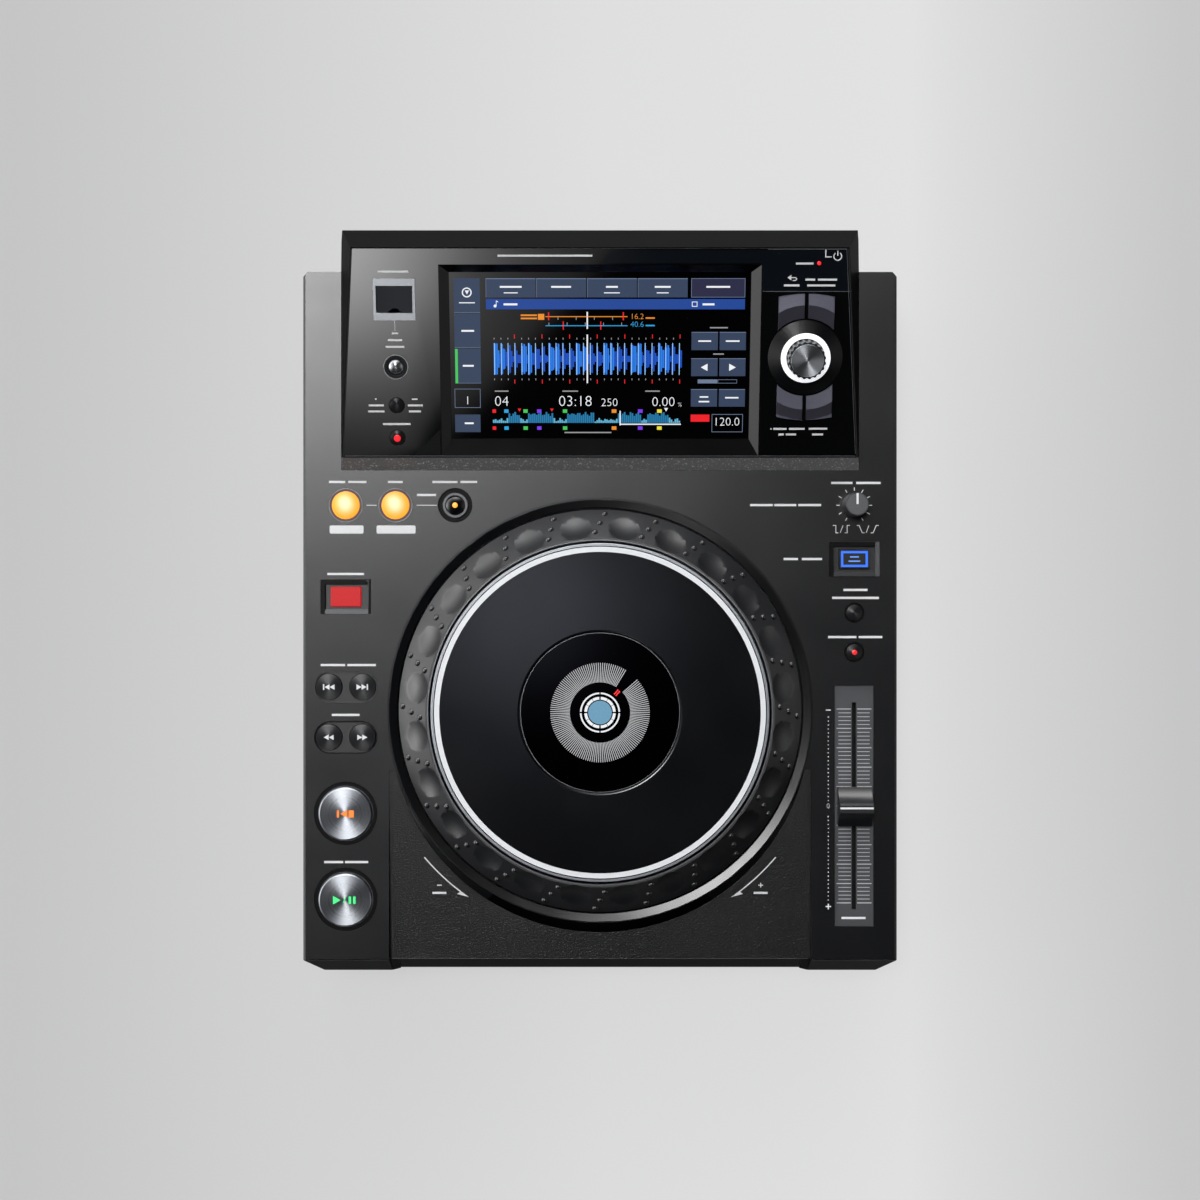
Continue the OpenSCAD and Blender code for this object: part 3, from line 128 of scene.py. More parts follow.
# ---- finishes ----

@dataclass(frozen=True)
class Bench:
    """A material in the making: its nodes, its surface shader and the point on the piece."""

    tree: bpy.types.NodeTree
    shader: Node
    spot: Socket

    def add(self, kind: str, settings: Optional[dict] = None, links: Optional[dict] = None) -> Node:
        """Adds one node to the material."""
        return add_node(self.tree, kind, settings, links)

    def noise(self, size: float, detail: float = 2.0, spot: Union[Node, Socket, None] = None) -> Node:
        """Adds noise whose patches are about a given size.

        Args:
            size: the patch size in millimetres.
            detail: how many finer layers it has.
            spot: what it reads instead of the point on the piece.

        Returns:
            Its node.
        """
        return self.add("TexNoise", {"Scale": 0.7 / (size * MM), "Detail": detail}, {"Vector": spot or self.spot})

    def feed(self, name: str, source: Node, output: Union[str, int]) -> None:
        """Links a node's output to an input of the shader."""
        self.tree.links.new(source.outputs[output], self.shader.inputs[name])

    def colour(self, value: Node, dark: str, light: str, name: str = "Base Color") -> None:
        """Feeds a colour of the shader from two tones and a grey value.

        Args:
            value: the grey value that mixes them.
            dark: the tone at 0.
            light: the tone at 1.
            name: the shader's input.
        """
        self.feed(name, self.add("Mix", {"data_type": "RGBA", 6: hex_linear(dark), 7: hex_linear(light)},
                                 {0: value}), 2)

    def roughness(self, value: Node, middle: float, spread: float) -> None:
        """Lets the roughness wander by a grey value.

        Args:
            value: the grey value.
            middle: the finish's own roughness.
            spread: the largest change to each side.
        """
        self.feed("Roughness", self.add("MapRange", {"To Min": middle - spread, "To Max": middle + spread},
                                        {"Value": value}), "Result")

    def bump(self, value: Node, height: float, strength: float = 1.0) -> None:
        """Bumps the surface by a grey value, where 1 is a peak.

        Args:
            value: the grey value.
            height: the height of a peak in millimetres.
            strength: the share of it that shows.
        """
        self.feed("Normal", self.add("Bump", {"Strength": strength, "Distance": height * MM},
                                     {"Height": value}), "Normal")


@dataclass(frozen=True)
class Finish:
    """A surface, named for its real material and how it was made.

    Every kind has a base colour, its roughness, how metallic it is, the size and height of its grain in
    millimetres, and how far its tone varies.
    """

    name: str
    colour: str
    roughness: float = 0.4
    metallic: float = 0.0
    grain: float = 0.5
    height: float = 0.02
    mottle: float = 0.12
    coat: float = 0.0
    specular: float = 0.5

    def make(self) -> bpy.types.Material:
        """Makes the material once and then shares it.

        Returns:
            The material.
        """
        found = bpy.data.materials.get(self.name)
        if found:
            return found
        material = bpy.data.materials.new(self.name)
        material.use_nodes = True
        tree = material.node_tree
        tree.nodes.clear()
        shader = add_node(tree, "BsdfPrincipled", {
            "Base Color": hex_linear(self.colour), "Roughness": self.roughness,
            "Metallic": self.metallic, "Coat Weight": self.coat, "Specular IOR Level": self.specular})
        add_node(tree, "OutputMaterial", links={"Surface": shader})
        self.dress(Bench(tree, shader, add_node(tree, "TexCoord").outputs["Object"]))
        return material

    def tone(self, share: float) -> str:
        """Returns the base colour made lighter or darker by a share."""
        parts = [int(self.colour[i:i + 2], 16) for i in (1, 3, 5)]
        return "#" + "".join(f"{max(0, min(255, round(c * (1 + share)))):02x}" for c in parts)

    def grained(self, bench: Bench, value: Node, spread: float) -> None:
        """Lets the tone, the roughness and the height follow one grey value.

        Args:
            bench: the material in the making.
            value: the grey value.
            spread: how far the roughness wanders.
        """
        bench.colour(value, self.tone(-self.mottle), self.tone(self.mottle))
        bench.roughness(value, self.roughness, spread)
        bench.bump(value, self.height)

    def dress(self, bench: Bench) -> None:
        """Adds the detail: here an even grain."""
        self.grained(bench, bench.noise(self.grain), 0.04)


@dataclass(frozen=True)
class MouldedPlastic(Finish):
    """ABS from a spark-eroded mould: a fine even grain that breaks a highlight into specks."""

    specks: float = 0.35

    def dress(self, bench: Bench) -> None:
        """Adds the spark grain, its light specks and a faint handling sheen.

        Args:
            bench: the material in the making.
        """
        grain = bench.noise(self.grain, 3)
        peaks = bench.add("MapRange", {"From Min": 0.58, "From Max": 0.8}, {"Value": grain})
        bench.colour(peaks, self.tone(-self.mottle), self.tone(self.specks))
        bench.roughness(bench.noise(34, 4), self.roughness, 0.05)
        bench.bump(grain, self.height)


@dataclass(frozen=True)
class GlossPlastic(Finish):
    """Polished or lacquered plastic: a clear reflection with the slightest waviness and fine dust."""

    dust: float = 0.5
    dust_colour: str = "#3c3d40"

    def dress(self, bench: Bench) -> None:
        """Adds the faint waviness of a moulded gloss and sparse dust.

        Args:
            bench: the material in the making.
        """
        specks = bench.add("MapRange", {"From Min": 0.72, "From Max": 0.78, "To Max": self.dust},
                           {"Value": bench.noise(0.8, 4)})
        bench.colour(specks, self.colour, self.dust_colour)
        bench.roughness(bench.noise(25, 3), self.roughness, self.roughness * 0.3)
        bench.bump(bench.noise(14), self.height)


@dataclass(frozen=True)
class LeatherGrain(Finish):
    """ABS skin with an etched leather grain: rounded islands between fine creases."""

    def dress(self, bench: Bench) -> None:
        """Adds the islands, about 1.3 mm wide, and their creases.

        Args:
            bench: the material in the making.
        """
        warp = bench.add("TexNoise", {"Scale": 0.5 / MM, "Detail": 2.0}, {"Vector": bench.spot})
        shift = bench.add("VectorMath", {"operation": "SCALE", "Scale": self.grain * 0.5 * MM},
                          {0: warp.outputs["Color"]})
        moved = bench.add("VectorMath", {"operation": "ADD"}, {0: bench.spot, 1: shift})
        cells = bench.add("TexVoronoi", {"feature": "DISTANCE_TO_EDGE", "Scale": 1 / (self.grain * MM)},
                          {"Vector": moved})
        island = bench.add("MapRange", {"interpolation_type": "SMOOTHSTEP", "From Max": 0.22}, {"Value": cells})
        bench.colour(island, self.tone(-0.45), self.tone(0.12))
        bench.roughness(bench.noise(30, 3), self.roughness, 0.04)
        bench.bump(island, self.height, 0.7)


@dataclass(frozen=True)
class SpunMetal(Finish):
    """Aluminium faced on a lathe: fine rings round a centre that gather light into wedges."""

    centre: Triple = (0.0, 0.0, 0.0)
    axis: Triple = UP
    ring: float = 0.25

    def dress(self, bench: Bench) -> None:
        """Adds the rings, and the way across them, in which they spread the light, as the tangent.

        Args:
            bench: the material in the making.
        """
        arm = bench.add("VectorMath", {"operation": "SUBTRACT", 1: self.centre}, {0: bench.spot})
        run = bench.add("VectorMath", {"operation": "CROSS_PRODUCT", 1: self.axis}, {0: arm})
        level = bench.add("VectorMath", {"operation": "CROSS_PRODUCT", 1: self.axis}, {0: run})
        radius = bench.add("VectorMath", {"operation": "LENGTH"}, {0: level})
        across = bench.add("VectorMath", {"operation": "NORMALIZE"}, {0: level})
        self.grained(bench, bench.add("TexNoise", {"noise_dimensions": "1D", "Scale": 1 / (self.ring * MM),
                                                   "Detail": 3.0}, {"W": radius}), 0.07)
        bench.shader.inputs["Anisotropic"].default_value = 0.85
        bench.feed("Tangent", across, "Vector")


@dataclass(frozen=True)
class BrushedSheet(Finish):
    """Sheet metal brushed one way: long fine strokes along its length."""

    stroke: Triple = (1.0, 20.0, 1.0)

    def dress(self, bench: Bench) -> None:
        """Adds the strokes."""
        stretched = bench.add("Mapping", {"Scale": self.stroke}, {"Vector": bench.spot})
        self.grained(bench, bench.noise(self.grain, 4, stretched), 0.08)


@dataclass(frozen=True)
class Ink(Finish):
    """Screen-printed ink: a thin matt film whose cover varies a little."""

    def dress(self, bench: Bench) -> None:
        """Adds the uneven cover of the film.

        Args:
            bench: the material in the making.
        """
        value = bench.noise(0.3, 3)
        bench.colour(value, self.tone(-0.1), self.tone(0.04))
        bench.bump(value, 0.004)


@dataclass(frozen=True)
class Lit(Finish):
    """Translucent plastic or a display with light behind it, brightest over its lamp."""

    heart: str = "#ffffff"
    rim: str = "#ff8a10"
    strength: float = 1.0
    centre: Triple = (0.0, 0.0, 0.0)
    spread: float = 0.0

    def dress(self, bench: Bench) -> None:
        """Adds the glow, which falls off from the lamp where a spread is given.

        Args:
            bench: the material in the making.
        """
        value = bench.noise(max(self.grain, 0.2))
        bench.colour(value, self.tone(-0.08), self.tone(0.08))
        if self.spread > 0:
            gap = bench.add("VectorMath", {"operation": "DISTANCE", 1: self.centre}, {0: bench.spot})
            near = bench.add("MapRange", {"interpolation_type": "SMOOTHSTEP", "From Max": self.spread * MM},
                             {"Value": gap})
        else:
            near = bench.add("MapRange", {"From Min": 0.3, "From Max": 0.9, "To Max": 0.25}, {"Value": value})
        bench.colour(near, self.heart, self.rim, "Emission Color")
        bench.shader.inputs["Emission Strength"].default_value = self.strength


# Injection-moulded ABS of the case: soft satin black with a fine spark grain.
DECK = MouldedPlastic("abs_satin_black", "#08090b", 0.25, grain=0.45, height=0.012)
# The housing's coarse moulding, nearly without a highlight.
LIP = MouldedPlastic("abs_coarse_black", "#0c0d0e", 0.36, grain=0.7, height=0.05, specks=0.9, specular=0.04)
# The sloping lip below the fascia: black plastic given a pale grey, coarse-grained colour as painted light, standing
# in for the light its grain catches.
LIP_FRONT_PAINTED_LIGHT = MouldedPlastic("abs_lip_painted_light", "#c4c5c7", 0.5, grain=0.75, height=0.07, mottle=0.45, specks=0.15,
                           specular=0.9)
# The grained skin in front of the wheel, like fine leather.
APRON = LeatherGrain("abs_leather_grain", "#0a0b0c", 0.32, grain=1.3, height=0.055)
# The lower front faces: a darker, matt copy of the deck plastic as painted shade; and a pale grey strip along their
# top edge as a painted highlight.
NOSE_PAINTED_SHADE = MouldedPlastic("abs_front_painted_shade", "#030304", 0.3, grain=0.5, height=0.008, specks=0.2, specular=0.04)
FRONT_PAINTED_HIGHLIGHT = Ink("abs_front_painted_highlight", "#626366", 0.5)
# Steel sheet of the floor and back: painted with long strokes, and powder-coated with a soft orange peel.
FLOOR_STEEL = BrushedSheet("steel_painted_black", "#1c1d1f", 0.5, grain=0.8, height=0.01)
REAR_STEEL = MouldedPlastic("steel_powder_coated", "#232427", 0.5, grain=0.6, height=0.02)
# Lacquered acrylic panel round the screen: near mirror, almost black, with a lighter navy band at its upper right
# and a matt corner.
FASCIA = GlossPlastic("acrylic_piano_black", "#050607", 0.06, height=0.004, coat=1.0)
FASCIA_NAVY = GlossPlastic("acrylic_navy_band", "#0d1116", 0.08, height=0.004)
FASCIA_MATT = MouldedPlastic("acrylic_matt_corner", "#08090b", 0.55, grain=0.4, height=0.006, specks=0.2,
                             specular=0.2)
# Polished ABS of the sloped surround and the collar: soft clear reflections.
BEZEL = GlossPlastic("abs_polished_frame", "#060607", 0.16, height=0.003, specular=0.2)
COLLAR = GlossPlastic("abs_gloss_collar", "#08090b", 0.22, height=0.004)
# The dimpled ring, satin, with polished grip bumps, and the plate in soft-touch paint.
RING = MouldedPlastic("abs_wheel_ring", "#16171a", 0.4, grain=0.5, height=0.006, specks=0.2, specular=0.7)
BUMP = MouldedPlastic("abs_bump_polished", "#1b1c1f", 0.28, grain=0.5, height=0.003, specks=0.1, specular=0.8)
PLATE = MouldedPlastic("rubber_paint_plate", "#07080a", 0.14, grain=0.3, height=0.004, specks=0.15)
# Smoked acrylic windows over the displays: black and clear.
WINDOW = GlossPlastic("acrylic_window", "#020203", 0.04, height=0.001)
DISC_WINDOW = GlossPlastic("acrylic_disc_window", "#010102", 0.05, height=0.001, specular=0.06)
# Bright metals: plated zinc, nickel, brass, steel, foil and chrome, each with fine drawn strokes.
SILVER = BrushedSheet("zinc_satin_plated", "#c3c7cc", 0.24, 1.0, grain=0.3, height=0.003, mottle=0.05)
SOCKET = BrushedSheet("nickel_plated_shell", "#a9adb2", 0.28, 1.0, grain=0.4, height=0.004)
GOLD = BrushedSheet("brass_gilt_contact", "#d2a24a", 0.25, 1.0, grain=0.3, height=0.003)
STEEL = BrushedSheet("steel_zinc_plated", "#9a9da2", 0.32, 1.0, grain=0.5, height=0.005)
BLACK_STEEL = BrushedSheet("steel_blackened_rail", "#0b0b0c", 0.5, 0.4, grain=0.4, height=0.003)
BRONZE = BrushedSheet("bronze_sintered", "#8c6b42", 0.45, 0.9, grain=0.4, height=0.01)
INLAY = BrushedSheet("foil_silver_inlay", "#dcdee1", 0.5, 0.25, grain=0.4, height=0.004, mottle=0.03)
TRIM = BrushedSheet("chrome_thin_trim", "#d4d6da", 0.3, 0.9, grain=0.4, height=0.002)
PLATE_EDGE = BrushedSheet("aluminium_plate_edge", "#8a8d92", 0.34, 0.9, grain=0.4, height=0.002)
SCALE = BrushedSheet("aluminium_anodised_grey", "#4c4e51", 0.42, 0.5, grain=0.3, height=0.004)
# Thin pale films and rings on black plastic: painted highlights along edges, bevels and round keys, and the grey
# ring round the reloop key.
EDGE_PAINTED_HIGHLIGHT = BrushedSheet("abs_edge_painted_highlight", "#6a6c70", 0.3, 0.5, grain=0.5, height=0.002)
RELOOP_RING = BrushedSheet("abs_reloop_ring", "#4a4b4e", 0.32, 0.5, grain=0.4, height=0.002)
KEY_BEVEL_PAINTED_HIGHLIGHT = BrushedSheet("abs_key_bevel_painted_highlight", "#242528", 0.34, 0.5, grain=0.4, height=0.002)
RIM_PAINTED_HIGHLIGHT = BrushedSheet("abs_rim_painted_highlight", "#6b6d71", 0.3, 0.6, grain=0.4, height=0.002)
# Keys and knobs: moulded ABS, satin where fingers rub it and polished on the small round key.
KEY_BLACK = MouldedPlastic("abs_key_black", "#121315", 0.3, grain=0.3, height=0.006)
KEY_GLOSS = GlossPlastic("abs_key_gloss", "#0b0c0e", 0.14, height=0.003)
FLAP = MouldedPlastic("abs_flap_blue_black", "#141a24", 0.3, grain=0.3, height=0.005)
WING = MouldedPlastic("abs_key_violet", "#686878", 0.34, grain=0.35, height=0.006, specks=0.1)
# Painted shade: a darker copy of the violet key plastic for the key slopes that face the front.
WING_PAINTED_SHADE = MouldedPlastic("abs_key_violet_painted_shade", "#3a3944", 0.4, grain=0.35, height=0.006, specks=0.1)
RIM = MouldedPlastic("abs_rim_black", "#0f1012", 0.36, grain=0.45, height=0.008, specks=0.25)
# Painted shade: a deeper black copy of the rim plastic for the recesses round keys and inside key frames.
RIM_PAINTED_SHADE = MouldedPlastic("abs_rim_painted_shade", "#050506", 0.4, grain=0.45, height=0.006, specks=0.1,
                           specular=0.1)
KNOB = MouldedPlastic("abs_knob_grey", "#55575b", 0.34, grain=0.35, height=0.01)
KNOB_SKIRT = MouldedPlastic("abs_knob_skirt", "#2b2c2f", 0.36, grain=0.35, height=0.01)
KNOB_SIDE = MouldedPlastic("abs_metallised_skirt", "#3c3e42", 0.34, 0.6, grain=0.3, height=0.002, specks=0.05)
CAP = MouldedPlastic("abs_fader_cap", "#17181a", 0.32, grain=0.3, height=0.006)
# Parts below and inside: matt rubber, nylon, board laminates with a resin gloss, and acetal.
RUBBER = MouldedPlastic("rubber_moulded_foot", "#151515", 0.75, grain=0.9, height=0.03)
INLET = MouldedPlastic("nylon_black_inlet", "#16171a", 0.45, grain=0.5, height=0.01)
BOARD = GlossPlastic("glass_epoxy_board", "#1d5a36", 0.35, height=0.01)
PAPER_BOARD = GlossPlastic("phenolic_board", "#93653a", 0.45, height=0.01)
ACETAL = MouldedPlastic("acetal_white_gear", "#d8d4c8", 0.4, grain=0.5, height=0.005, specks=0.02)
# Coloured plastic rings of the audio jacks.
RED_RING = MouldedPlastic("abs_ring_red", "#a8161c", 0.35)
WHITE_RING = MouldedPlastic("abs_ring_white", "#d9d9d6", 0.35)
ORANGE_RING = MouldedPlastic("abs_ring_orange", "#c86a18", 0.35)
# Printed inks: matt, with a cover that thins a little.
WHITE_INK = Ink("ink_white_print", "#e9eaec", 0.55)
GREY_INK = Ink("ink_grey_print", "#8b8d91", 0.55)
# Painted shade: a black film along the gap between the housing and the fascia.
GAP_PAINTED_SHADE = Ink("ink_gap_painted_shade", "#08080a", 0.5)
SCALE_INK = Ink("ink_scale_print", "#c9cbce", 0.5)
# Lamps and lit plastic: an even glow, paler over the lamp.
ORANGE_INK = Lit("ink_orange_lit", "#c05010", 0.5, heart="#ff8a30", rim="#e86a18", strength=0.9)
GREEN_INK = Lit("ink_green_lit", "#1d7a3c", 0.5, heart="#46f08a", rim="#2fd070", strength=1.0)
RED_LED = Lit("led_red_epoxy", "#8f0a10", 0.25, heart="#ff3038", rim="#e01020", strength=1.0)
AMBER_LAMP = Lit("led_amber_epoxy", "#c07010", 0.25, heart="#ffb848", rim="#ff8410", strength=1.0)
WHITE_LIGHT = Lit("polycarbonate_lit_white", "#d8d8dc", 0.4, heart="#f4f5f8", rim="#dcdfe6", strength=0.85)
# Painted light: a dim maroon glow on the well round each loop key, standing in for the key's light spilling into the
# gap.
WELL_PAINTED_GLOW = Lit("abs_well_painted_glow", "#1c0a0c", 0.4, heart="#30090c", rim="#2a080b", strength=1.0)
RED_LIT = Lit("polycarbonate_lit_red", "#7c0a0e", 0.3, heart="#cc262a", rim="#a8181e", strength=0.7,
              specular=0.15)
BLUE_LIT = Lit("polycarbonate_lit_blue", "#0a2080", 0.3, heart="#2f78ff", rim="#1c52e8", strength=1.1)
BLUE_PALE = Lit("polycarbonate_mark_blue", "#0a2080", 0.3, heart="#7fb2ff", rim="#5a92f4", strength=0.8)
# The wheel's own small display: printed rays and rings lit from below, and a blue disc.
RAY_LIGHT = Lit("display_ray_white", "#101010", 0.3, heart="#b9babc", rim="#a2a3a6")
RING_LIGHT = Lit("display_ring_white", "#101010", 0.3, heart="#f0f2f5", rim="#e0e2e6")
DISC_BLUE = Lit("display_disc_blue", "#0a1216", 0.3, heart="#6498b6", rim="#5586a4")


def screen(name: str, heart: str, rim: str, colour: str = "#0a0c10") -> Lit:
    """Returns one colour of the touch display: a clear glow from behind dark glass."""
    return Lit("display_" + name, colour, 0.3, heart=heart, rim=rim)


# ---- places ----

@dataclass(frozen=True)
class Places:
    """Where the flat faces of the player lie, in millimetres, as planes that pieces are set on."""

    deck_z: float = 72.0
    jog_y: float = -54.5
    jog_z: float = 91.0
    fascia_y: float = 75.54
    fascia_z: float = 78.5
    tilt: float = 15.0
    apron_y: float = -85.1
    apron_fall: float = 2.924

    def deck(self, x: float = 0.0, y: float = 0.0, rise: float = 0.0) -> Matrix:
        """Returns the plane of the deck, moved by x, y and a rise."""
        return Matrix.Translation(Vector((x, y, self.deck_z + rise)) * MM)

    def wheel(self, rise: float = 0.0, turn: float = 0.0) -> Matrix:
        """Returns the plane of the wheel's plate, turned by degrees."""
        return (Matrix.Translation(Vector((0, self.jog_y, self.jog_z + rise)) * MM)
                @ Matrix.Rotation(math.radians(turn), 4, "Z"))

    def fascia(self, u: float = 0.0, v: float = 0.0, rise: float = 0.0) -> Matrix:
        """Gives the plane of the tilted fascia.

        Args:
            u: the way across from the middle of its lower edge.
            v: the way up along it.
            rise: the way out of it.

        Returns:
            The plane.
        """
        return (Matrix.Translation(Vector((0, self.fascia_y, self.fascia_z)) * MM)
                @ Matrix.Rotation(math.radians(self.tilt), 4, "X")
                @ Matrix.Translation(Vector((u, v, rise)) * MM))

    def apron(self, x: float = 0.0, y: float = 0.0) -> Matrix:
        """Gives the plane of the sloping apron.

        Args:
            x: the place across, as on the deck.
            y: the same, along.

        Returns:
            The plane.
        """
        return (Matrix.Translation(Vector((0, self.apron_y, self.deck_z)) * MM)
                @ Matrix.Rotation(math.radians(self.apron_fall), 4, "X")
                @ Matrix.Translation(Vector((x, y - self.apron_y, 0)) * MM))


AT = Places()
WORD_H = 1.15  # the height of the bars that stand for a printed word on the deck
BODY_OF = {node: body for body, nodes in frame["record"]["behaviour"]["bodies"].items() for node in nodes}


def middle(node: str) -> Vector:
    """Returns the middle of a node's box in millimetres."""
    low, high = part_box(node)
    return (low + high) / 2 / MM


def top_of(node: str) -> float:
    """Returns how far a node stands over the deck in millimetres."""
    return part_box(node)[1].z / MM - AT.deck_z


# ---- modelling ----

def set_mode(mode: str) -> None:
    """Switches the active object to a mode."""
    bpy.ops.object.mode_set(mode=mode)


def clear_selection() -> None:
    """Leaves edit mode and deselects everything."""
    if bpy.context.object and bpy.context.object.mode != "OBJECT":
        set_mode("OBJECT")
    bpy.ops.object.select_all(action="DESELECT")


def hold(piece: Piece) -> None:
    """Makes one object the only selected and the active one.

    Args:
        piece: the object.
    """
    clear_selection()
    piece.select_set(True)
    bpy.context.view_layer.objects.active = piece


def fresh(name: str) -> Piece:
    """Names the object that an operator has just added, and moves its place into its mesh.

    Args:
        name: its new name.

    Returns:
        The object.
    """
    piece = bpy.context.object
    piece.name = name
    bpy.ops.object.transform_apply(location=True, rotation=True, scale=True)
    return piece


def disc(name: str, radius: float, low: float, high: float, sides: int = 64) -> Piece:
    """Adds a closed round slab.

    Args:
        name: the object's name.
        radius: its radius.
        low: its lower height.
        high: its upper height.
        sides: how many sides its rim has.

    Returns:
        The object.
    """
    clear_selection()
    bpy.ops.mesh.primitive_cylinder_add(vertices=sides, radius=radius * MM, depth=(high - low) * MM,
                                        location=(0, 0, (low + high) / 2 * MM))
    return fresh(name)


def block(name: str, width: float, depth: float, low: float, high: float) -> Piece:
    """Adds a closed slab with straight sides.

    Args:
        name: the object's name.
        width: its size across.
        depth: its size along.
        low: its lower height.
        high: its upper height.

    Returns:
        The object.
    """
    clear_selection()
    bpy.ops.mesh.primitive_cube_add(size=1, location=(0, 0, (low + high) / 2 * MM))
    bpy.context.object.scale = (width * MM, depth * MM, (high - low) * MM)
    return fresh(name)


def pick(piece: Piece, test: Test, kind: Element = Element.FACE) -> None:
    """Selects what passes a test by its place, and leaves the object in edit mode.

    Args:
        piece: the object.
        test: takes the middle in millimetres and the direction, and says whether it is selected.
        kind: what is selected.
    """
    hold(piece)
    mesh = piece.data
    bpy.context.tool_settings.mesh_select_mode = tuple(kind is one for one in
                                                       (Element.VERT, Element.EDGE, Element.FACE))
    for group in Element:
        parts = getattr(mesh, group.value)
        parts.foreach_set("select", [False] * len(parts))
    for part in getattr(mesh, kind.value):
        if kind is Element.EDGE:
            a, b = (mesh.vertices[i].co for i in part.vertices)
            spot, way = (a + b) / 2, (b - a).normalized()
        else:
            spot, way = part.center if kind is Element.FACE else part.co, part.normal
        part.select = bool(test(spot / MM, way))
    set_mode("EDIT")


def apply(piece: Piece, kind: str, **settings: object) -> None:
    """Adds a modifier and applies it.

    Args:
        piece: the object.
        kind: the modifier's type.
        settings: its settings.
    """
    hold(piece)
    modifier = piece.modifiers.new(kind.lower(), kind)
    for key, value in settings.items():
        setattr(modifier, key, value)
    bpy.ops.object.modifier_apply(modifier=modifier.name)


def soften(piece: Piece, width: float, steps: int = 2, angle: float = 30.0) -> None:
    """Rounds the sharp edges of a piece.

    Args:
        piece: the object.
        width: the rounding's width in millimetres.
        steps: its number of facets.
        angle: only edges sharper than this many degrees are rounded.
    """
    apply(piece, "BEVEL", width=width * MM, segments=steps, limit_method="ANGLE",
          angle_limit=math.radians(angle), use_clamp_overlap=True, harden_normals=False)


def smooth(piece: Piece, angle: float = 35.0) -> None:
    """Shades a piece smooth, apart from edges sharper than an angle in degrees."""
    hold(piece)
    bpy.ops.object.shade_smooth_by_angle(angle=math.radians(angle))


def weigh(piece: Piece) -> None:
    """Lets the large faces of a piece rule its shading."""
    apply(piece, "WEIGHTED_NORMAL", weight=90, keep_sharp=True)


def turn_round(steps: int, angle: float, merge: float) -> None:
    """Spins the edited outline round the vertical axis and closes its seam.

    Args:
        steps: the number of steps of the turn.
        angle: how far it turns, in radians.
        merge: points closer than this many metres become one.
    """
    set_mode("EDIT")
    bpy.ops.mesh.select_all(action="SELECT")
    bpy.ops.mesh.spin(steps=steps, angle=angle, center=(0, 0, 0), axis=UP)
    bpy.ops.mesh.select_all(action="SELECT")
    bpy.ops.mesh.remove_doubles(threshold=merge)


def spun(name: str, outline: Sequence[Point], sides: int = 96) -> Piece:
    """Turns a closed outline of radius and height round the vertical axis.

    Args:
        name: the object's name.
        outline: its corners in millimetres, each a radius and a height.
        sides: the number of steps of the turn.

    Returns:
        The closed ring.
    """
    clear_selection()
    bpy.ops.mesh.primitive_circle_add(vertices=len(outline), radius=MM, fill_type="NOTHING")
    piece = fresh(name)
    for vertex, (radius, height) in zip(piece.data.vertices, outline):
        vertex.co = Vector((radius, 0, height)) * MM
    turn_round(sides, 2 * math.pi, 1e-6)
    bpy.ops.mesh.normals_make_consistent(inside=False)
    set_mode("OBJECT")
    return piece


def ring(name: str, outer: float, inner: float, low: float, high: float, sides: int = 96) -> Piece:
    """Adds a flat ring between two radii and two heights.

    Args:
        name: the object's name.
        outer: its outer radius.
        inner: its inner radius.
        low: its lower height.
        high: its upper height.
        sides: the number of steps of its turn.

    Returns:
        The closed ring.
    """
    return spun(name, [(inner, low), (outer, low), (outer, high), (inner, high)], sides)


def copies(piece: Piece, places: Iterable[Matrix]) -> List[Piece]:
    """Repeats a piece, each copy with its own mesh, and removes the first.

    Args:
        piece: the object that is repeated.
        places: where each copy goes, in metres.

    Returns:
        The copies.
    """
    made = []
    for place in places:
        twin = piece.copy()
        twin.data = piece.data.copy()
        twin.data.transform(place)
        bpy.context.scene.collection.objects.link(twin)
        made.append(twin)
    bpy.data.objects.remove(piece)
    return made


def join(name: str, pieces: Sequence[Piece]) -> Piece:
    """Joins objects into one.

    Args:
        name: the joined object's name.
        pieces: the objects.

    Returns:
        The joined object.
    """
    clear_selection()
    for piece in pieces:
        piece.select_set(True)
    bpy.context.view_layer.objects.active = pieces[0]
    if len(pieces) > 1:
        bpy.ops.object.join()
    pieces[0].name = name
    return pieces[0]


def seat(piece: Piece, place: Matrix, carrier: str, finish: Finish, replaces: Sequence[str] = ()) -> Piece:
    """Puts a finished piece in its place, with its finish, on the body of the node that carries it.

    Args:
        piece: the object, modelled round its own origin.
        place: the plane that it is set on.
        carrier: the node whose body it takes.
        finish: its surface.
        replaces: the nodes that it stands for.

    Returns:
        The piece.
    """
    piece.data.transform(place)
    piece.data.materials.clear()
    piece.data.materials.append(finish.make())
    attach(piece, BODY_OF[carrier])
    if replaces:
        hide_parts(*replaces)
    log.info("%s: %d faces on %s", piece.name, len(piece.data.polygons), BODY_OF[carrier])
    return piece


def dress(finish: Finish, *nodes: str) -> None:
    """Gives nodes whose shape is right their finish.

    Args:
        finish: the surface.
        nodes: the nodes' names.
    """
    for node in nodes:
        mesh = frame["nodes"][node].data
        mesh.materials.clear()
        mesh.materials.append(finish.make())
        log.info("%s: %s", node, finish.name)


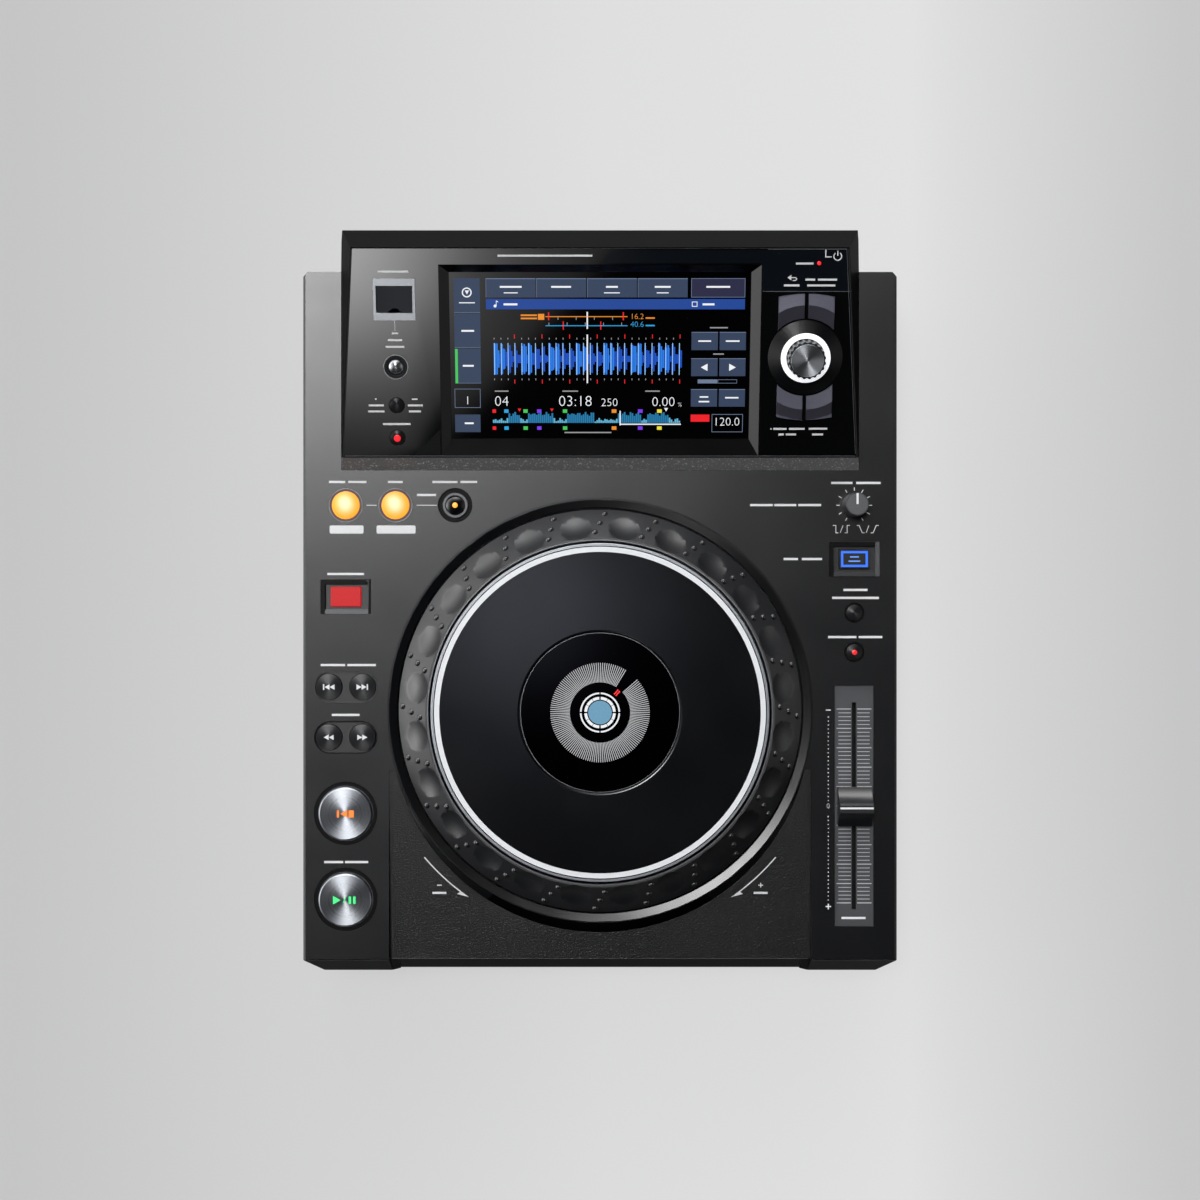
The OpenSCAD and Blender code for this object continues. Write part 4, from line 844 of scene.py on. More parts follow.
def refine(node: str, finish: Finish, width: float, steps: int = 2, angle: float = 30.0,
           shade: float = 35.0) -> Piece:
    """Stands a copy of a node, with its edges rounded, in the node's place.

    Args:
        node: the node's name.
        finish: its surface.
        width: the rounding's width in millimetres.
        steps: its number of facets.
        angle: only edges sharper than this many degrees are rounded.
        shade: edges sharper than this many degrees stay crisp in the shading.

    Returns:
        The copy.
    """
    piece = bpy.data.objects.new(node + "_soft", frame["nodes"][node].data.copy())
    bpy.context.scene.collection.objects.link(piece)
    hold(piece)
    set_mode("EDIT")
    bpy.ops.mesh.select_all(action="SELECT")
    bpy.ops.mesh.remove_doubles(threshold=2e-6)
    bpy.ops.mesh.dissolve_limited(angle_limit=math.radians(1))
    set_mode("OBJECT")
    if width > 0:
        soften(piece, width, steps, angle)
    smooth(piece, shade)
    weigh(piece)
    return seat(piece, Matrix.Identity(4), node, finish, [node])


def paint(piece: Piece, finish: Finish, test: Test) -> None:
    """Gives some faces of a piece a second finish.

    Args:
        piece: the piece, in its place.
        finish: the surface of the chosen faces.
        test: takes a face's middle in millimetres and its normal and says whether it is chosen.
    """
    piece.data.materials.append(finish.make())
    last = len(piece.data.materials) - 1
    for face in piece.data.polygons:
        if test(face.center / MM, face.normal):
            face.material_index = last


def lamp(name: str, radius: float, low: float, high: float, rounding: float, place: Matrix, carrier: str,
         finish: Finish) -> None:
    """Adds a small round lamp with a rounded lens.

    Args:
        name: the piece's name.
        radius: its radius.
        low: its lower height.
        high: its upper height.
        rounding: the width of its rounding.
        place: the plane that it is set on.
        carrier: the node that carries it.
        finish: its light.
    """
    piece = disc(name, radius, low, high, 32)
    soften(piece, rounding)
    smooth(piece)
    seat(piece, place, carrier, finish)


@dataclass
class Legend:
    """Flat printed or lit shapes on one plane, drawn in millimetres and joined into one thin film."""

    name: str
    parts: List[Piece] = field(default_factory=list)

    def bar(self, x: float, y: float, width: float, height: float, turn: float = 0.0) -> "Legend":
        """Adds a straight bar.

        Args:
            x: its middle, across.
            y: the same, along.
            width: its size across.
            height: its size along.
            turn: its turn in degrees.

        Returns:
            The legend.
        """
        clear_selection()
        bpy.ops.mesh.primitive_plane_add(size=1, location=(x * MM, y * MM, 0),
                                         rotation=(0, 0, math.radians(turn)))
        bpy.context.object.scale = (width * MM, height * MM, 1)
        self.parts.append(fresh(self.name))
        return self

    def bars(self, rows: Iterable[Sequence[float]], height: float) -> "Legend":
        """Adds bars of one height.

        Args:
            rows: each bar's middle, across and along, and its width.
            height: their size along.

        Returns:
            The legend.
        """
        for x, y, width in rows:
            self.bar(x, y, width, height)
        return self

    def line(self, start: Point, end: Point, width: float) -> "Legend":
        """Adds a bar from one point to another.

        Args:
            start: the first point.
            end: the last point.
            width: the bar's width.

        Returns:
            The legend.
        """
        run, rise = end[0] - start[0], end[1] - start[1]
        return self.bar((start[0] + end[0]) / 2, (start[1] + end[1]) / 2, math.hypot(run, rise), width,
                        math.degrees(math.atan2(rise, run)))

    def box(self, left: float, low: float, right: float, high: float) -> "Legend":
        """Adds a bar by its sides."""
        return self.bar((left + right) / 2, (low + high) / 2, right - left, high - low)

    def boxes(self, rows: Iterable[Sequence[float]]) -> "Legend":
        """Adds several bars by their sides.

        Args:
            rows: each bar's left, lower, right and upper side.

        Returns:
            The legend.
        """
        for row in rows:
            self.box(*row)
        return self

    def strips(self, rows: Iterable[Sequence[float]], half: float = 0.5) -> "Legend":
        """Adds level strips, each from its left to its right end at a height."""
        return self.boxes((left, y - half, right, y + half) for left, right, y in rows)

    def dot(self, x: float, y: float, radius: float, sides: int = 20) -> "Legend":
        """Adds a filled circle, or a polygon where it has few sides.

        Args:
            x: its middle, across.
            y: the same, along.
            radius: its radius.
            sides: the number of its sides.

        Returns:
            The legend.
        """
        clear_selection()
        bpy.ops.mesh.primitive_circle_add(vertices=sides, radius=radius * MM, fill_type="NGON",
                                          location=(x * MM, y * MM, 0))
        self.parts.append(fresh(self.name))
        return self

    def shape(self, corners: Sequence[Point]) -> "Legend":
        """Adds a filled outline.

        Args:
            corners: its corners in order.

        Returns:
            The legend.
        """
        self.dot(0, 0, 1, len(corners))
        for vertex, (x, y) in zip(self.parts[-1].data.vertices, corners):
            vertex.co = Vector((x, y, 0)) * MM
        return self

    def arrow(self, x: float, y: float, size: float, turn: float = 0.0) -> "Legend":
        """Adds a triangle that points along its turn.

        Args:
            x: its middle, across.
            y: the same, along.
            size: its length.
            turn: its turn in degrees.

        Returns:
            The legend.
        """
        a = math.radians(turn)
        tips = [(0.5, 0.0), (-0.5, 0.55), (-0.5, -0.55)]
        return self.shape([(x + size * (p * math.cos(a) - q * math.sin(a)),
                            y + size * (p * math.sin(a) + q * math.cos(a))) for p, q in tips])

    def arc(self, x: float, y: float, radius: float, width: float, start: float, stop: float,
            steps: int = 24) -> "Legend":
        """Adds a curved band round a centre.

        Args:
            x: the centre, across.
            y: the same, along.
            radius: the radius of its middle line.
            width: its width.
            start: its first angle in degrees.
            stop: its last angle in degrees.
            steps: its number of steps.

        Returns:
            The legend.
        """
        clear_selection()
        bpy.ops.mesh.primitive_plane_add(size=MM)
        piece = fresh(self.name)
        pick(piece, lambda spot, way: spot.x < 0, Element.VERT)
        bpy.ops.mesh.delete(type="VERT")
        set_mode("OBJECT")
        a = math.radians(start)
        for vertex, reach in zip(piece.data.vertices, (radius - width / 2, radius + width / 2)):
            vertex.co = Vector((reach * math.cos(a), reach * math.sin(a), 0)) * MM
        turn_round(steps, math.radians(start - stop), 1e-7)
        set_mode("OBJECT")
        piece.data.transform(Matrix.Translation((x * MM, y * MM, 0)))
        self.parts.append(piece)
        return self

    def plate(self, left: float, low: float, right: float, high: float, radius: float) -> "Legend":
        """Adds a filled rectangle with round corners.

        Args:
            left: its left side.
            low: its lower side.
            right: its right side.
            high: its upper side.
            radius: the radius of its corners.

        Returns:
            The legend.
        """
        corners = []
        for x, y, start in ((right - radius, high - radius, 0), (left + radius, high - radius, 90),
                            (left + radius, low + radius, 180), (right - radius, low + radius, 270)):
            for i in range(5):
                a = math.radians(start + i * 22.5)
                corners.append((x + radius * math.cos(a), y + radius * math.sin(a)))
        return self.shape(corners)

    def plus(self, x: float, y: float, size: float, width: float) -> "Legend":
        """Adds a plus sign.

        Args:
            x: its middle, across.
            y: the same, along.
            size: its whole size.
            width: the width of its arms.

        Returns:
            The legend.
        """
        a, b = size / 2, width / 2
        corners = [(a, b), (b, b), (b, a), (-b, a), (-b, b), (-a, b), (-a, -b), (-b, -b), (-b, -a),
                   (b, -a), (b, -b), (a, -b)]
        return self.shape([(x + px, y + py) for px, py in corners])

    def path(self, points: Sequence[Point], width: float) -> "Legend":
        """Adds a line of even width through several points, with mitred corners.

        Args:
            points: the points in order.
            width: the line's width.

        Returns:
            The legend.
        """
        spots = [Vector((px, py, 0)) for px, py in points]
        left, right = [], []
        for i, spot in enumerate(spots):
            before = (spot - spots[i - 1]).normalized() if i else (spots[1] - spot).normalized()
            after = (spots[i + 1] - spot).normalized() if i + 1 < len(spots) else before
            way = (before + after).normalized()
            side = Vector((-way.y, way.x, 0)) * (width / 2 / max(0.3, way.dot(after)))
            left.append(tuple((spot + side).xy))
            right.append(tuple((spot - side).xy))
        return self.shape(right + left[::-1])

    def frame(self, left: float, low: float, right: float, high: float, width: float) -> "Legend":
        """Adds a rectangle's outline.

        Args:
            left: its left side.
            low: its lower side.
            right: its right side.
            high: its upper side.
            width: the line's width, inwards.

        Returns:
            The legend.
        """
        return self.boxes(((left, high - width, right, high), (left, low, right, low + width),
                           (left, low + width, left + width, high - width),
                           (right - width, low + width, right, high - width)))

    def figures(self, digits: str, x: float, y: float, height: float) -> "Legend":
        """Adds plain figures, centred on a point.

        Args:
            digits: the figures.
            x: their middle, across.
            y: the same, along.
            height: their height.

        Returns:
            The legend.
        """
        clear_selection()
        bpy.ops.object.text_add(location=(0, 0, 0))
        text = bpy.context.object.data
        text.body = digits
        text.size = height * MM * 1.4
        text.offset = -0.026 * height * MM
        text.resolution_u = 3
        text.align_x = text.align_y = "CENTER"
        bpy.ops.object.convert(target="MESH")
        piece = bpy.context.object
        piece.data.transform(Matrix.Translation((x * MM, y * MM, 0)))
        self.parts.append(piece)
        return self

    def lay(self, place: Matrix, carrier: str, finish: Finish, thick: float = 0.05) -> Piece:
        """Joins the shapes, gives them their thickness and lays them on a plane.

        Args:
            place: the plane.
            carrier: the node that carries it.
            finish: its ink or light.
            thick: the film's thickness in millimetres.

        Returns:
            The film.
        """
        piece = join(self.name, self.parts)
        set_mode("EDIT")
        bpy.ops.mesh.select_all(action="SELECT")
        bpy.ops.mesh.normals_make_consistent(inside=False)
        set_mode("OBJECT")
        if any(face.normal.z < 0 for face in piece.data.polygons):
            pick(piece, lambda spot, normal: normal.z < 0)
            bpy.ops.mesh.flip_normals()
            set_mode("OBJECT")
        apply(piece, "SOLIDIFY", thickness=thick * MM, offset=1.0)
        return seat(piece, place, carrier, finish)


# ---- case ----

@dataclass
class Case:
    """The deck cover, the grained apron with its turning arrows, the floor, the feet and the back."""

    arc_r: float = 118.2
    arc_w: float = 0.62
    edge: float = 0.45
    apron_edge: float = 0.6
    sign: Point = (83.0, -144.9)
    jack_y: float = 171.2
    jack_z: float = 37.2
    collar_r: float = 5.2
    collar_hole: float = 4.25
    collar_t: float = 0.35
    glint_w: float = 0.5
    glint_in: float = 0.2
    pods: Sequence[Point] = ((-151.5, -109.3), (109.3, 151.5))
    apron_span: Point = (-107.5, 107.5)

    def build(self) -> None:
        """Dresses the shell and adds its arrows, front edges and jack rings."""
        for node, finish, edge in (("top_cover", DECK, self.edge), ("front_apron", APRON, self.apron_edge)):
            piece = refine(node, finish, edge)
            # Painted shade: the front-facing faces take the darker copy of the plastic.
            paint(piece, NOSE_PAINTED_SHADE, lambda spot, normal: normal.y < -0.35 and spot.y < -150)
        refine("bottom_plate", FLOOR_STEEL, 0.2)
        refine("rear_panel", REAR_STEEL, 0.15)
        refine("feet", RUBBER, 0.8, 3)
        dress(STEEL, "screws")
        dress(INLET, "power_inlet", "power_switch", "power_button")
        dress(GOLD, "audio_jacks")
        dress(SOCKET, "data_sockets")
        dress(BOARD, "control_boards", "main_board")
        dress(PAPER_BOARD, "power_board")
        self.arrows()
        self.front_edges()
        self.socket_collars()

    def arrows(self) -> None:
        """Prints the two arrows that say which way the wheel turns, with a minus and a plus."""
        half = self.arc_w / 2
        for name, side, start, stop in (("arrow_slower", -1, 219.9, 232.6), ("arrow_faster", 1, 320.1, 307.4)):
            legend = Legend(name)
            legend.arc(0, AT.jog_y, self.arc_r, self.arc_w, start, stop)
            legend.shape([self.polar(stop + side * 0.2, half), self.polar(stop + side * 0.5, 2.1),
                          self.polar(stop - side * 2.4, -0.2), self.polar(stop - side * 0.1, -half)])
            x, y = side * self.sign[0], self.sign[1]
            if side > 0:
                legend.plus(x, y, 2.4, 0.5)
            else:
                legend.bar(x, y, 2.4, 0.5)
            legend.bar(x, y - 4.0, 7.2, 1.1)
            for part in legend.parts:
                part.data.transform(Matrix.Translation((0, -AT.apron_y * MM, 0)))
            legend.lay(AT.apron(0, AT.apron_y), "front_apron", WHITE_INK)

    def front_edges(self) -> None:
        """Adds a painted highlight: a thin pale grey strip along the front edge of the pods and the apron."""
        front = min(v.co.y for v in frame["nodes"]["top_cover"].data.vertices if v.co.z > (AT.deck_z - 0.05) * MM)
        for node, spans in (("top_cover", self.pods), ("front_apron", (self.apron_span,))):
            top = max(v.co.z for v in frame["nodes"][node].data.vertices if abs(v.co.y - front) < 0.4 * MM)
            for left, right in spans:
                glint = block("front_edge", right - left, self.glint_w, -self.glint_w, 0.0)
                spot = Vector(((left + right) / 2 * MM, front + self.glint_in * MM, top))
                seat(glint, Matrix.Translation(spot), node, FRONT_PAINTED_HIGHLIGHT)

    def polar(self, angle: float, out: float) -> Point:
        """Returns a point of the arrow's arc, moved outwards."""
        a, r = math.radians(angle), self.arc_r + out
        return r * math.cos(a), AT.jog_y + r * math.sin(a)

    def socket_collars(self) -> None:
        """Adds the coloured rings round the audio sockets at the back."""
        for x, finish in ((-6.0, RED_RING), (-24.0, WHITE_RING), (18.0, ORANGE_RING)):
            piece = ring("socket_collar", self.collar_r, self.collar_hole, 0.0, self.collar_t, 48)
            place = Matrix.Translation(Vector((x, self.jack_y, self.jack_z)) * MM)
            seat(piece, place @ Matrix.Rotation(-math.pi / 2, 4, "X"), "audio_jacks", finish)


# ---- display housing ----

@dataclass
class Display:
    """The housing, its gloss fascia, the bevelled surround and the lit touch display."""

    glass_rise: float = -5.0
    left: float = -76.2
    foot: float = 8.8
    fascia_len: float = 106.8
    half_low: float = 131.9
    half_high: float = 124.0
    film: float = 0.03
    side_keys: Sequence[Point] = ((64.6, 82.0), (46.8, 64.2), (28.6, 46.4))
    tabs: Sequence[float] = (18.6, 44.1, 69.7, 95.3)
    tab_w: float = 25.1
    tab_low: float = 72.3
    tab_high: float = 81.9
    columns: Sequence[Point] = ((122.6, 136.0), (136.9, 150.2))
    rows: Sequence[Point] = ((45.6, 54.8), (32.3, 41.4), (16.6, 25.6))
    wave_y: float = 41.1
    wave_half: float = 8.1
    beats: int = 28
    beat: float = 3.48

    def build(self) -> None:
        """Dresses the housing and draws what the display shows."""
        housing = refine("display_housing", LIP, 0.5)
        # Painted light: the front-facing lip faces take the pale grey finish.
        paint(housing, LIP_FRONT_PAINTED_LIGHT,
              lambda spot, normal: normal.y < -0.3 and normal.z > 0.15 and spot.z > AT.deck_z + 0.2)
        refine("display_fascia", FASCIA, 0.15)
        refine("screen_bezel", BEZEL, 0.12, 1, 20)
        dress(WINDOW, "touch_glass")
        dress(SOCKET, "lcd_module")
        self.edge_lines()
        self.draw()

    def edge_lines(self) -> None:
        """Adds painted shade as a dark strip along the fascia's edges, thin pale lines along its edges and steps as
        painted highlights, and a lighter navy band and a matt corner beside the surround.
        """
        low, high, end = self.half_low - 0.3, self.half_high + 0.15, self.fascia_len - 1.0
        # Painted shade: a black strip along the gap between the housing and the fascia.
        gap_shade = Legend("fascia_gasket")
        gap_shade.line((-low, 0.7), (-high, end), 0.7).line((low, 0.7), (high, end), 0.7)
        gap_shade.line((-low, 0.1), (low, 0.1), 0.6)
        # Painted highlights: thin pale lines along the fascia's edges and steps.
        line = Legend("fascia_edge_line")
        line.line((-low + 1, 0.75), (low - 1, 0.75), 0.3).line((84, end - 0.1), (high - 1, end - 0.1), 0.35)
        line.line((low - 0.9, 2), (high - 0.9, end), 0.25)
        line.line((81.6, 84.7), (high + 2.0, 84.7), 0.35)
        panel = Legend("fascia_upper_band")
        panel.shape([(81.6, 85.0), (high + 0.6, 85.0), (high - 0.9, end - 0.6), (6.3, end - 0.6),
                     (-0.2, 98.8), (81.6, 98.8)])
        corner = Legend("fascia_corner").shape([(-81.5, 14.6), (-94.6, 1.4), (-81.5, 1.4)])
        for legend, finish, thick in ((gap_shade, GAP_PAINTED_SHADE, 0.06), (line, EDGE_PAINTED_HIGHLIGHT, 0.05),
                                      (panel, FASCIA_NAVY, 0.03), (corner, FASCIA_MATT, 0.03)):
            legend.lay(AT.fascia(), "display_fascia", finish, thick)

    def draw(self) -> None:
        """Draws the display's films, each in one colour and a little over or under its neighbours."""
        black, grey = "#04060a", "#101010"
        for name, finish, rise, paint_on in (
                ("keys", screen("slate", "#33415a", "#2c394f"), 0.0, self.keys),
                ("key_edges", screen("edge", "#6d7c96", "#5a6880"), 0.03, self.key_edges),
                ("title", screen("blue", "#1d4596", "#17397e"), 0.0, lambda g: g.box(18.6, 66.3, 149.4, 71.5)),
                ("marks", screen("white", "#f2f4f8", "#e2e5ec", grey), 0.04, self.marks),
                ("dim_marks", screen("grey", "#9a9a9c", "#848486", grey), 0.03, self.dim_marks),
                ("purple_key", screen("purple", "#262642", "#202038"), 0.0,
                 lambda g: g.box(122.2, self.tab_low, 149.4, self.tab_high)),
                ("wave_deep", screen("wave_deep", "#1450c0", "#0e3c96", black), 0.0,
                 lambda g: self.wave(g, Layer.BODY)),
                ("wave_mid", screen("wave_mid", "#2b86ea", "#1e6ed2", black), 0.03,
                 lambda g: self.wave(g, Layer.LOUD)),
                ("wave_light", screen("wave_light", "#a8d8ff", "#86c4f6", black), 0.05,
                 lambda g: self.wave(g, Layer.BEAT)),
                ("overview", screen("wave_teal", "#1f79a8", "#17618c", black), 0.0,
                 lambda g: self.overview(g, True)),
                ("overview_quiet", screen("wave_pale", "#62b4d6", "#4a9cc0", black), 0.0,
                 lambda g: self.overview(g, False)),
                ("red", screen("red", "#f01c26", "#d8141e", "#100404"), 0.04, self.reds),
                ("green", screen("green", "#46c85a", "#36b04a", "#041004"), 0.04,
                 lambda g: self.flags(g.box(2.6, 28.6, 3.9, 46.2), (37.0, 39.2), (57.2, 59.4))),
                ("orange", screen("orange", "#f09028", "#d87c1c", "#100804"), 0.04, self.orange_marks),
                ("cyan", screen("cyan", "#2aa4e0", "#1c8cc8", "#040a10"), 0.04, self.cyan_marks),
                ("violet", screen("violet", "#7c3ce8", "#642cd0", "#080410"), 0.04,
                 lambda g: self.flags(g, (44.0, 46.2), (95.6, 98.0))),
                ("yellow", screen("yellow", "#f0e040", "#d8c830", "#101004"), 0.04,
                 lambda g: self.flags(g, (105.4, 107.8)))):
            legend = Legend("screen_" + name)
            paint_on(legend)
            legend.lay(AT.fascia(self.left, self.foot, self.glass_rise + rise), "touch_glass", finish, self.film)

    def keys(self, g: Legend) -> None:
        """Draws the slate faces of the display's touch keys.

        Args:
            g: the legend.
        """
        g.boxes((2.4, low, 15.6, high) for low, high in self.side_keys)
        g.boxes((left, self.tab_low, left + self.tab_w, self.tab_high) for left in self.tabs)
        g.box(2.0, 3.4, 15.0, 12.5)
        g.boxes((left, low, right, high) for left, right in self.columns for low, high in self.rows)

    def key_edges(self, g: Legend) -> None:
        """Draws the lighter top edges and frames of the keys.

        Args:
            g: the legend.
        """
        rim = self.tab_high - 0.4
        for left in self.tabs:
            g.box(left, rim, left + self.tab_w, self.tab_high).box(left, self.tab_low, left + 0.2, rim)
        g.frame(122.2, self.tab_low, 149.4, self.tab_high, 0.25).frame(2.0, 16.0, 15.2, 25.8, 0.25)
        g.frame(133.4, 3.4, 149.3, 12.7, 0.25).box(126.0, 28.6, 136.0, 30.6)
        g.boxes((2.4, low, 15.6, low + 0.2) for low, high in self.side_keys)
        g.boxes((left, high - 0.3, right, high) for left, right in self.columns for low, high in self.rows)
        g.frame(136.2, 28.6, 146.0, 30.6, 0.2)

    def marks(self, g: Legend) -> None:
        """Draws the white figures, pointers and simple key marks.

        Args:
            g: the legend.
        """
        for digits, x, y, height in (("04", 26.0, 19.2, 5.4), ("03:18", 63.6, 19.2, 5.6), ("250", 81.0, 18.6, 4.2),
                                     ("0.00", 108.6, 18.9, 5.0), ("1", 8.6, 19.6, 4.4), ("120.0", 141.0, 8.6, 4.4),
                                     ("%", 117.0, 17.6, 2.2)):
            g.figures(digits, x, y, height)
        g.boxes(((69.4, 28.7, 70.1, 53.5), (69.4, 56.4, 70.1, 65.0), (86.2, 6.9, 86.8, 14.4),
                 (86.8, 7.2, 117.6, 7.8)))
        g.arrow(129.2, 36.8, 3.4, 180).arrow(143.6, 36.8, 3.4, 0)
        g.bars(((31.2, 77.6, 11.0), (56.6, 77.6, 10.0), (82.2, 77.6, 6.0), (107.8, 77.6, 8.0),
                (135.8, 77.6, 12.0)), 0.9)
        g.bars(((31.2, 74.6, 7.0), (82.2, 74.6, 8.0), (107.8, 74.6, 6.0)), 0.5)
        g.bars(((9.2, 55.4, 6.4), (9.2, 37.6, 5.6), (9.2, 8.0, 4.6)), 0.9)
        g.arc(9.0, 74.8, 2.2, 0.6, 0, 360).arrow(9.1, 74.8, 2.0, -90).bar(9.0, 69.6, 8.0, 0.5)
        g.bars(((129.3, 50.2, 6.5), (143.5, 50.2, 7.0), (129.3, 21.6, 4.4), (143.5, 21.2, 6.8),
                (129.3, 19.2, 5.4)), 0.75)
        g.dot(23.2, 68.0, 0.75).bar(23.8, 69.2, 0.3, 2.6).bar(24.3, 70.3, 1.1, 0.4, -35)
        g.bar(31.0, 68.8, 7.0, 1.0).frame(122.6, 67.6, 125.4, 70.2, 0.35).bar(131.0, 68.8, 6.0, 1.0)
        g.arrow(110.0, 15.0, 1.8, -90)

    def dim_marks(self, g: Legend) -> None:
        """Draws the grey beat ticks and small key titles.

        Args:
            g: the legend.
        """
        for i in range(self.beats):
            if i % 4 != 3:
                x = 22.3 + i * 3.5
                g.boxes((x, y, 22.65 + i * 3.5, y + 0.9) for y in (51.0, 30.2))
        g.bars(((26.0, 24.6, 7.0), (61.0, 24.6, 8.0), (103.0, 24.6, 7.4), (136.4, 57.0, 9.0), (136.4, 43.6, 5.4),
                (70.0, 3.2, 24.0)), 0.6)
        for i in range(9):
            x, y = 50.2 + i * 4.6, 61.0 if i % 2 else 58.2
            g.box(x, y, 50.5 + i * 4.6, y + 1.4)

    def wave(self, g: Legend, layer: Layer) -> None:
        """Draws one layer of the mirrored sound wave.

        Args:
            g: the legend.
            layer: its body, its loud beats or its beat lines.
        """
        y, end = self.wave_y, 118
        for i in range(self.beats):
            for j, level in enumerate((1.0, 0.93, 0.66, 0.4)):
                x = 22.6 + i * self.beat + j * 0.87
                dying = level - 0.1 * (i % 4)
                half = self.wave_half * min(1.0, max(0.18, dying + 0.17 * math.sin(i * 2.7 + j * 1.9)))
                if layer is Layer.BODY and x < end:
                    g.box(x - 0.4, y - half, x + 0.4, y + half)
                elif layer is Layer.LOUD and i % 4 < 2 and j < 3 - i % 4:
                    g.box(x + 0.18, y - half * 0.97, x + 0.72, y + half * 0.97)
            if layer is Layer.BEAT:
                g.box(22.4 + i * self.beat, y - 8.1, 22.74 + i * self.beat, y + 8.1)

    def overview(self, g: Legend, full: bool) -> None:
        """Draws the loud or the quiet parts of the small wave of the whole track.

        Args:
            g: the legend.
            full: whether it draws the loud parts.
        """
        foot = 8.2
        for i in range(96):
            x = 21.8 + i * 1.0
            loud = any(a < i < b for a, b in ((7, 14), (17, 31), (37, 52), (63, 76), (78, 90)))
            high = (4.6 if loud else 1.6) + 0.7 * math.sin(i * 1.9) + 0.4 * math.sin(i * 4.7)
            if loud == full:
                g.box(x - 0.42, foot, x + 0.42, foot + max(0.6, high))

    def flags(self, g: Legend, *spans: Point) -> Legend:
        """Draws the small flags above and below the overview, each from its left to its right side."""
        return g.boxes((left, low, right, low + 1.8) for left, right in spans for low in (13.4, 4.6))

    def reds(self, g: Legend) -> None:
        """Draws the red ticks, marks and key.

        Args:
            g: the legend.
        """
        for i in range(7):
            x = 32.8 + i * 14.0
            g.boxes((x - 0.2, y, x + 0.2, y + 2.1) for y in (51.5, 28.5))
        g.boxes((x - 0.3, 60.8, x + 0.3, 64.8) for x in (50.2, 88.0))
        g.boxes((x - 0.25, 56.0, x + 0.25, 60.2) for x in (57.6, 76.6))
        self.flags(g.box(122.6, 8.8, 132.2, 12.5), (21.2, 23.0))
        g.arrow(35.0, 14.8, 1.6, -90).arrow(51.6, 14.8, 1.6, -90)

    def orange_marks(self, g: Legend) -> None:
        """Draws the orange line, its figures and its flags.

        Args:
            g: the legend.
        """
        g.box(48.6, 62.4, 90.1, 62.8).box(44.8, 61.0, 48.0, 64.0)
        g.bars(((40.2, 63.3, 8.2), (40.2, 61.7, 8.2)), 0.8).bar(101.6, 61.9, 4.6, 0.7)
        self.flags(g, (82.2, 84.6)).figures("16.2", 95.0, 62.6, 2.9)

    def cyan_marks(self, g: Legend) -> None:
        """Draws the cyan line, its figures and its flags."""
        g.box(48.6, 57.8, 90.1, 58.2).bar(101.6, 58.1, 4.6, 0.7).figures("40.6", 95.0, 58.6, 2.9)
        self.flags(g, (27.2, 29.4))


# ---- controls beside the display ----

def spun_key(node: str) -> Finish:
    """Gives a small black key its finish, turned round its own middle.

    Args:
        node: the key's node.

    Returns:
        The finish.
    """
    low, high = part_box(node)
    return SpunMetal("abs_turned_black_" + node, "#17181a", 0.34, 0.35, height=0.003,
                     centre=tuple((low + high) / 2))


@dataclass
class PanelControls:
    """The memory port with its flap and the small round buttons left of the display."""

    x: float = -103.4
    stop_v: float = 46.6
    quantize_v: float = 10.2
    strips: Sequence[Triple] = (
        (-107.1, -99.8, 60.2), (-108.3, -98.9, 56.8), (-117.7, -110.0, 26.9), (-118.0, -109.7, 23.8),
        (-97.8, -90.2, 26.9), (-97.3, -91.1, 23.8), (-110.7, -96.6, 17.3), (-111.4, -95.9, 94.6),
        (-51.2, -3.9, 102.5))

    def build(self) -> None:
        """Dresses the port and buttons and prints their marks."""
        stop = AT.fascia(self.x, self.stop_v)
        refine("usb_frame", SILVER, 0.55, 3)
        refine("usb_flap", FLAP, 0.12)
        dress(SOCKET, "usb_socket")
        dress(SpunMetal("aluminium_dome", "#b4b7bc", 0.26, 1.0, height=0.002,
                        centre=tuple(stop @ Vector((0, 0, 0)))), "usb_stop_button")
        for node in ("time_mode_button", "quantize_button"):
            dress(spun_key(node), node)
        seat(ring("stop_trim", 6.25, 5.95, 0.1, 0.42, 64), stop, "button_rims", TRIM)
        lamp("quantize_lamp", 1.75, 0.4, 0.95, 0.2, AT.fascia(self.x, self.quantize_v, 0.9), "quantize_button",
             RED_LED)
        ink = Legend("panel_marks")
        ink.bar(self.x, 67.6, 0.35, 4.8).bar(self.x, 63.6, 3.2, 0.9).strips(self.strips)
        ink.dot(-114.0, 30.1, 0.45).bar(-94.2, 30.1, 3.0, 0.7)
        ink.lay(AT.fascia(), "display_fascia", WHITE_INK)


